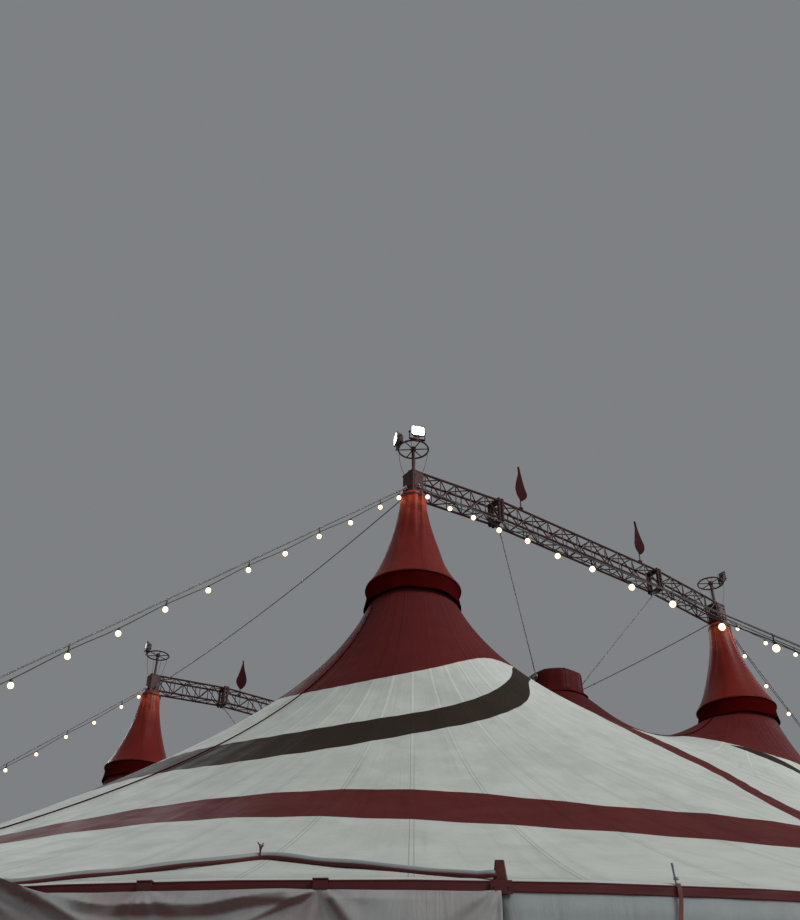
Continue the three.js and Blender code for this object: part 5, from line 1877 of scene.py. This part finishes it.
def frame_shells(middle):
    """The steel and straps of a quarter of the eave."""
    mains, thins = eave_posts(middle)
    steel, straps = [], []
    for step, degrees in mains:
        out, side = post_axes(degrees)
        steel.append(moved(turned(MAIN_POLE_LINE, 18), out * MAIN_POLE_REACH))
        if is_jamb(step):
            steel += jamb_cap(out, side)
        else:
            parts, strap = storm_strap(out, side)
            steel += parts
            straps.append(strap)
    for degrees in thins:
        out, side = post_axes(degrees)
        if min(abs(bearing_gap(degrees, door)) for door in DOORS.values()) < HALF_BAY:
            steel += door_block(out, side)
        else:
            parts, strap = thin_pole(out, side)
            steel += parts
            straps.append(strap)
    return steel + straps


def make_eave():
    for name, middle in SECTORS.items():
        piece(f"eave_band_{name}", band_shells(middle), [BAND_VINYL, EDGE_CANVAS],
              sharp=60)
        piece(f"eave_frame_{name}", frame_shells(middle), [POLE_PAINT, STRAP, ZINC, STAKE_STEEL],
              stands_for=f"side_frame_{name}", sharp=40)


make_eave()


# Walls and door curtains

WALL_TOP = 3.2295
WALL_REACH = 15.2995
HEM_CLEAR = 0.008
CURTAIN_REACH = 15.3075
CURTAIN_TOP = 3.236
CURTAIN_LOW = 2.50
CURTAIN_COLUMNS = 230
CURTAIN_ROWS = 56
BAY_WIDTH = 3.697
FOLDS = [(0.0, 0.5), (1 / 3, 0.2), (2 / 3, 0.25), (1.0, 0.9)]
SWAGS = [(0.0, 0.060), (0.24, 0.045), (0.5, 0.03)]
WALLS = {"front": (-5, 5), "left": (7, 19), "rear": (21, 31), "right": (33, 45)}


def wall_shell(first, last, seed):
    """Canvas hung from the band: between poles it billows out a little, with hanging folds that
    deepen toward the ground as sums of sines, and a straight hem."""
    degrees = np.linspace(first, last, int((last - first) / GORE_DEG * 14) + 1)
    share = shares(26)
    z = WALL_TOP + (HEM_CLEAR - WALL_TOP) * share
    bay = np.abs(np.sin(np.radians(degrees / GORE_DEG * 180)))
    turn = np.radians(degrees)
    folds = 0.5 + 0.5 * np.sin(turn * 190 + seed + 1.2 * np.sin(turn * 37) + 0.5 * share)
    small = np.sin(turn * 410 + seed * 3 + 2.0 * share)
    depth = (0.004 + 0.036 * share ** 0.8) * bay
    billow = 0.012 * bay * np.sin(np.pi * share)
    radius = WALL_REACH - 0.002 + depth * folds + 0.004 * small * share * bay + billow
    x, y = band_ring(degrees, 1.0)
    points = np.stack([x * radius, y * radius, np.broadcast_to(z, radius.shape)], -1)
    return surface(points)


def fold_over(level, crest, above, below):
    """A fold's height over a level: it swells toward its crest from above and turns in under it."""
    past = level - crest
    return clamp(1 + past / above) ** 2 * clamp(1 - past / below)


def curtain_shell(middle, seed):
    """A swagged curtain: it hangs from both jambs and two blocks, each with folds that fan out below
    it, and its lower edge rises over the doorway and falls to the ground beside the jambs. With it
    comes the share of painted shade under each fold, from how steeply the cloth turns back in as it
    goes down, and more weakly inside the pleat."""
    t = np.linspace(0, 1, CURTAIN_COLUMNS)
    back = 1 - t
    side = np.abs(2 * t - 1)
    low = CURTAIN_LOW - 0.12 * (1 - side ** 2) + 0.03 * np.sin(t * 26 + seed)
    low = low + (HEM_CLEAR - low) * eased(ramp(side - 0.66, 0.20))
    share = shares(CURTAIN_ROWS) ** 1.35
    top = CURTAIN_TOP + 0.17 * clamp(1 - back / 0.15) ** 1.2 - 0.006 * np.abs(np.sin(np.pi * t * 3)) ** 0.8
    z = top + (low - top) * share
    drop, level = top - z, CURTAIN_TOP - z

    # Folds that fan out below the four points the curtain hangs from
    fan = np.zeros_like(z)
    for hold, strength in FOLDS:
        away = (t - hold) * math.radians(BAY_DEG) * EAVE_RADIUS
        down = np.maximum(3.27 - z, 0.03)
        reach = np.hypot(away, down)
        wave = np.cos(np.arctan2(away, down) * 11 + seed + hold * 5)
        fan = fan + strength * 0.024 * wave * np.exp(-(reach / 0.9) ** 2) * ramp(reach, 0.15)

    # The sling that runs down from the raised corner, and the swags below it
    sling = fold_over(level, 1.8 * (back - 0.035) - 0.154, 0.25, 0.10)
    fan = fan + 0.080 * sling * ramp(back, 0.03) * ramp(0.5 - back, 0.2)
    swag = 0.10 * np.sin(np.pi * ramp(back - 0.10, 0.56)) + 0.012 * np.sin(back * 31)
    between = ramp(back - 0.14, 0.08) * ramp(0.66 - back, 0.06)
    for lower, depth in SWAGS:
        fan = fan + depth * fold_over(level, swag * (1 + lower) + lower, 0.16, 0.075) * between

    # The pleat under the second block, which spreads from its top, and the cloth puffed out beside it
    across = (back - 2 / 3) * BAY_WIDTH
    pleat = eased(ramp(np.minimum(across + 0.05 + 2.2 * drop, 0.05 + 0.86 * drop - across), 0.10))
    aside = (1 - pleat) * ramp(drop, 0.06) * np.exp(-np.abs(across) / 0.9)
    fan = (fan + 0.050 * aside) * np.exp(-(drop / 1.1) ** 2)

    hang = 0.030 * np.sin(t * 44 + seed + np.sin(t * 13)) * share ** 1.2
    sweep = 0.02 * np.sin(3 * np.pi * t) ** 2 * np.sin(np.pi * clamp(share * 1.2))
    x, y = band_ring(middle - HALF_BAY + 0.02 + (BAY_DEG - 0.04) * t, 1.0)
    radius = CURTAIN_REACH + 0.020 + np.maximum(fan, -0.02) + hang * 0.6 + sweep
    # Painted shade: under each fold, where the cloth turns back in as it goes down, and weaker inside the
    # pleat.
    slope = np.gradient(radius, axis=0) / np.gradient(drop, axis=0)
    shaded = np.maximum(clamp(-1.5 * slope - 0.08), 0.30 * pleat * np.exp(-drop))
    return surface(np.stack([x * radius, y * radius, z], -1)), shaded


def make_walls():
    for index, (name, (first, last)) in enumerate(WALLS.items()):
        shell = wall_shell(first * HALF_BAY, last * HALF_BAY, index * 1.3)
        wall = piece(f"wall_canvas_{name}", shell, [WALL_CANVAS],
                     stands_for=f"wall_{name}", thickness=WALL_THICK)
        faced(wall)
    for index, (name, middle) in enumerate(DOORS.items()):
        shell, fold = curtain_shell(middle, 0.6 + index)
        curtain = piece(f"curtain_swag_{name}", shell, [CURTAIN_CANVAS],
                        stands_for=f"door_curtain_{name}", thickness=VINYL_THICK, attributes={"fold": fold})
        side, hand = name.split("_")
        faced(curtain)


make_walls()


# Rolled flaps over the doorways

def make_rolls():
    """A rolled flap of roof cloth over each doorway: it climbs the roof from both jamb caps to a
    tied tip over the middle."""
    for name, middle in DOORS.items():
        t = np.linspace(0, 1, 90)
        side = 2 * t - 1
        radius = THIN_POLE_REACH - 0.86 * np.maximum(1 - np.sqrt(side ** 2 + 0.0012), 0)
        x, y = on_compass(middle + HALF_BAY * 0.985 * side, radius)
        inside = np.minimum(radius, ROOF_EDGE - 0.01) / radius
        z = np.maximum(roof_height(x * inside, y * inside), 3.335) + 0.024 + 0.004 * np.sin(t * 31)
        path = np.stack([x, y, z], -1)
        out = np.stack([x, y, 0 * x], -1) / radius[:, None]
        taper = 0.75 + 0.25 * np.sin(np.pi * np.clip(t, 0.02, 0.98)) + 0.06 * np.sin(t * 47)
        inner = path + out * 0.026 - UP * 0.020
        parts = [carried(circle(0.030, 14), path, scale=taper, reference=UP),
                 carried(circle(0.017, 10), inner, scale=taper, reference=UP, paint=1)]
        tip = path[45] + out[45] * 0.034 - UP * 0.012
        for k in range(5):
            a = k * 1.256
            d = np.array([math.cos(a) * 0.026, math.sin(a) * 0.026, 0.088 + 0.010 * (k % 3)])
            tail = smooth_line([tip, tip + d * [0.3, 0.3, 0.7], tip + d], 6)
            parts.append(carried(circle(0.0045, 6), tail, paint=1))
        thing = piece(f"door_flap_roll_{name}", parts, [WALL_CANVAS, BAND_VINYL])


make_rolls()
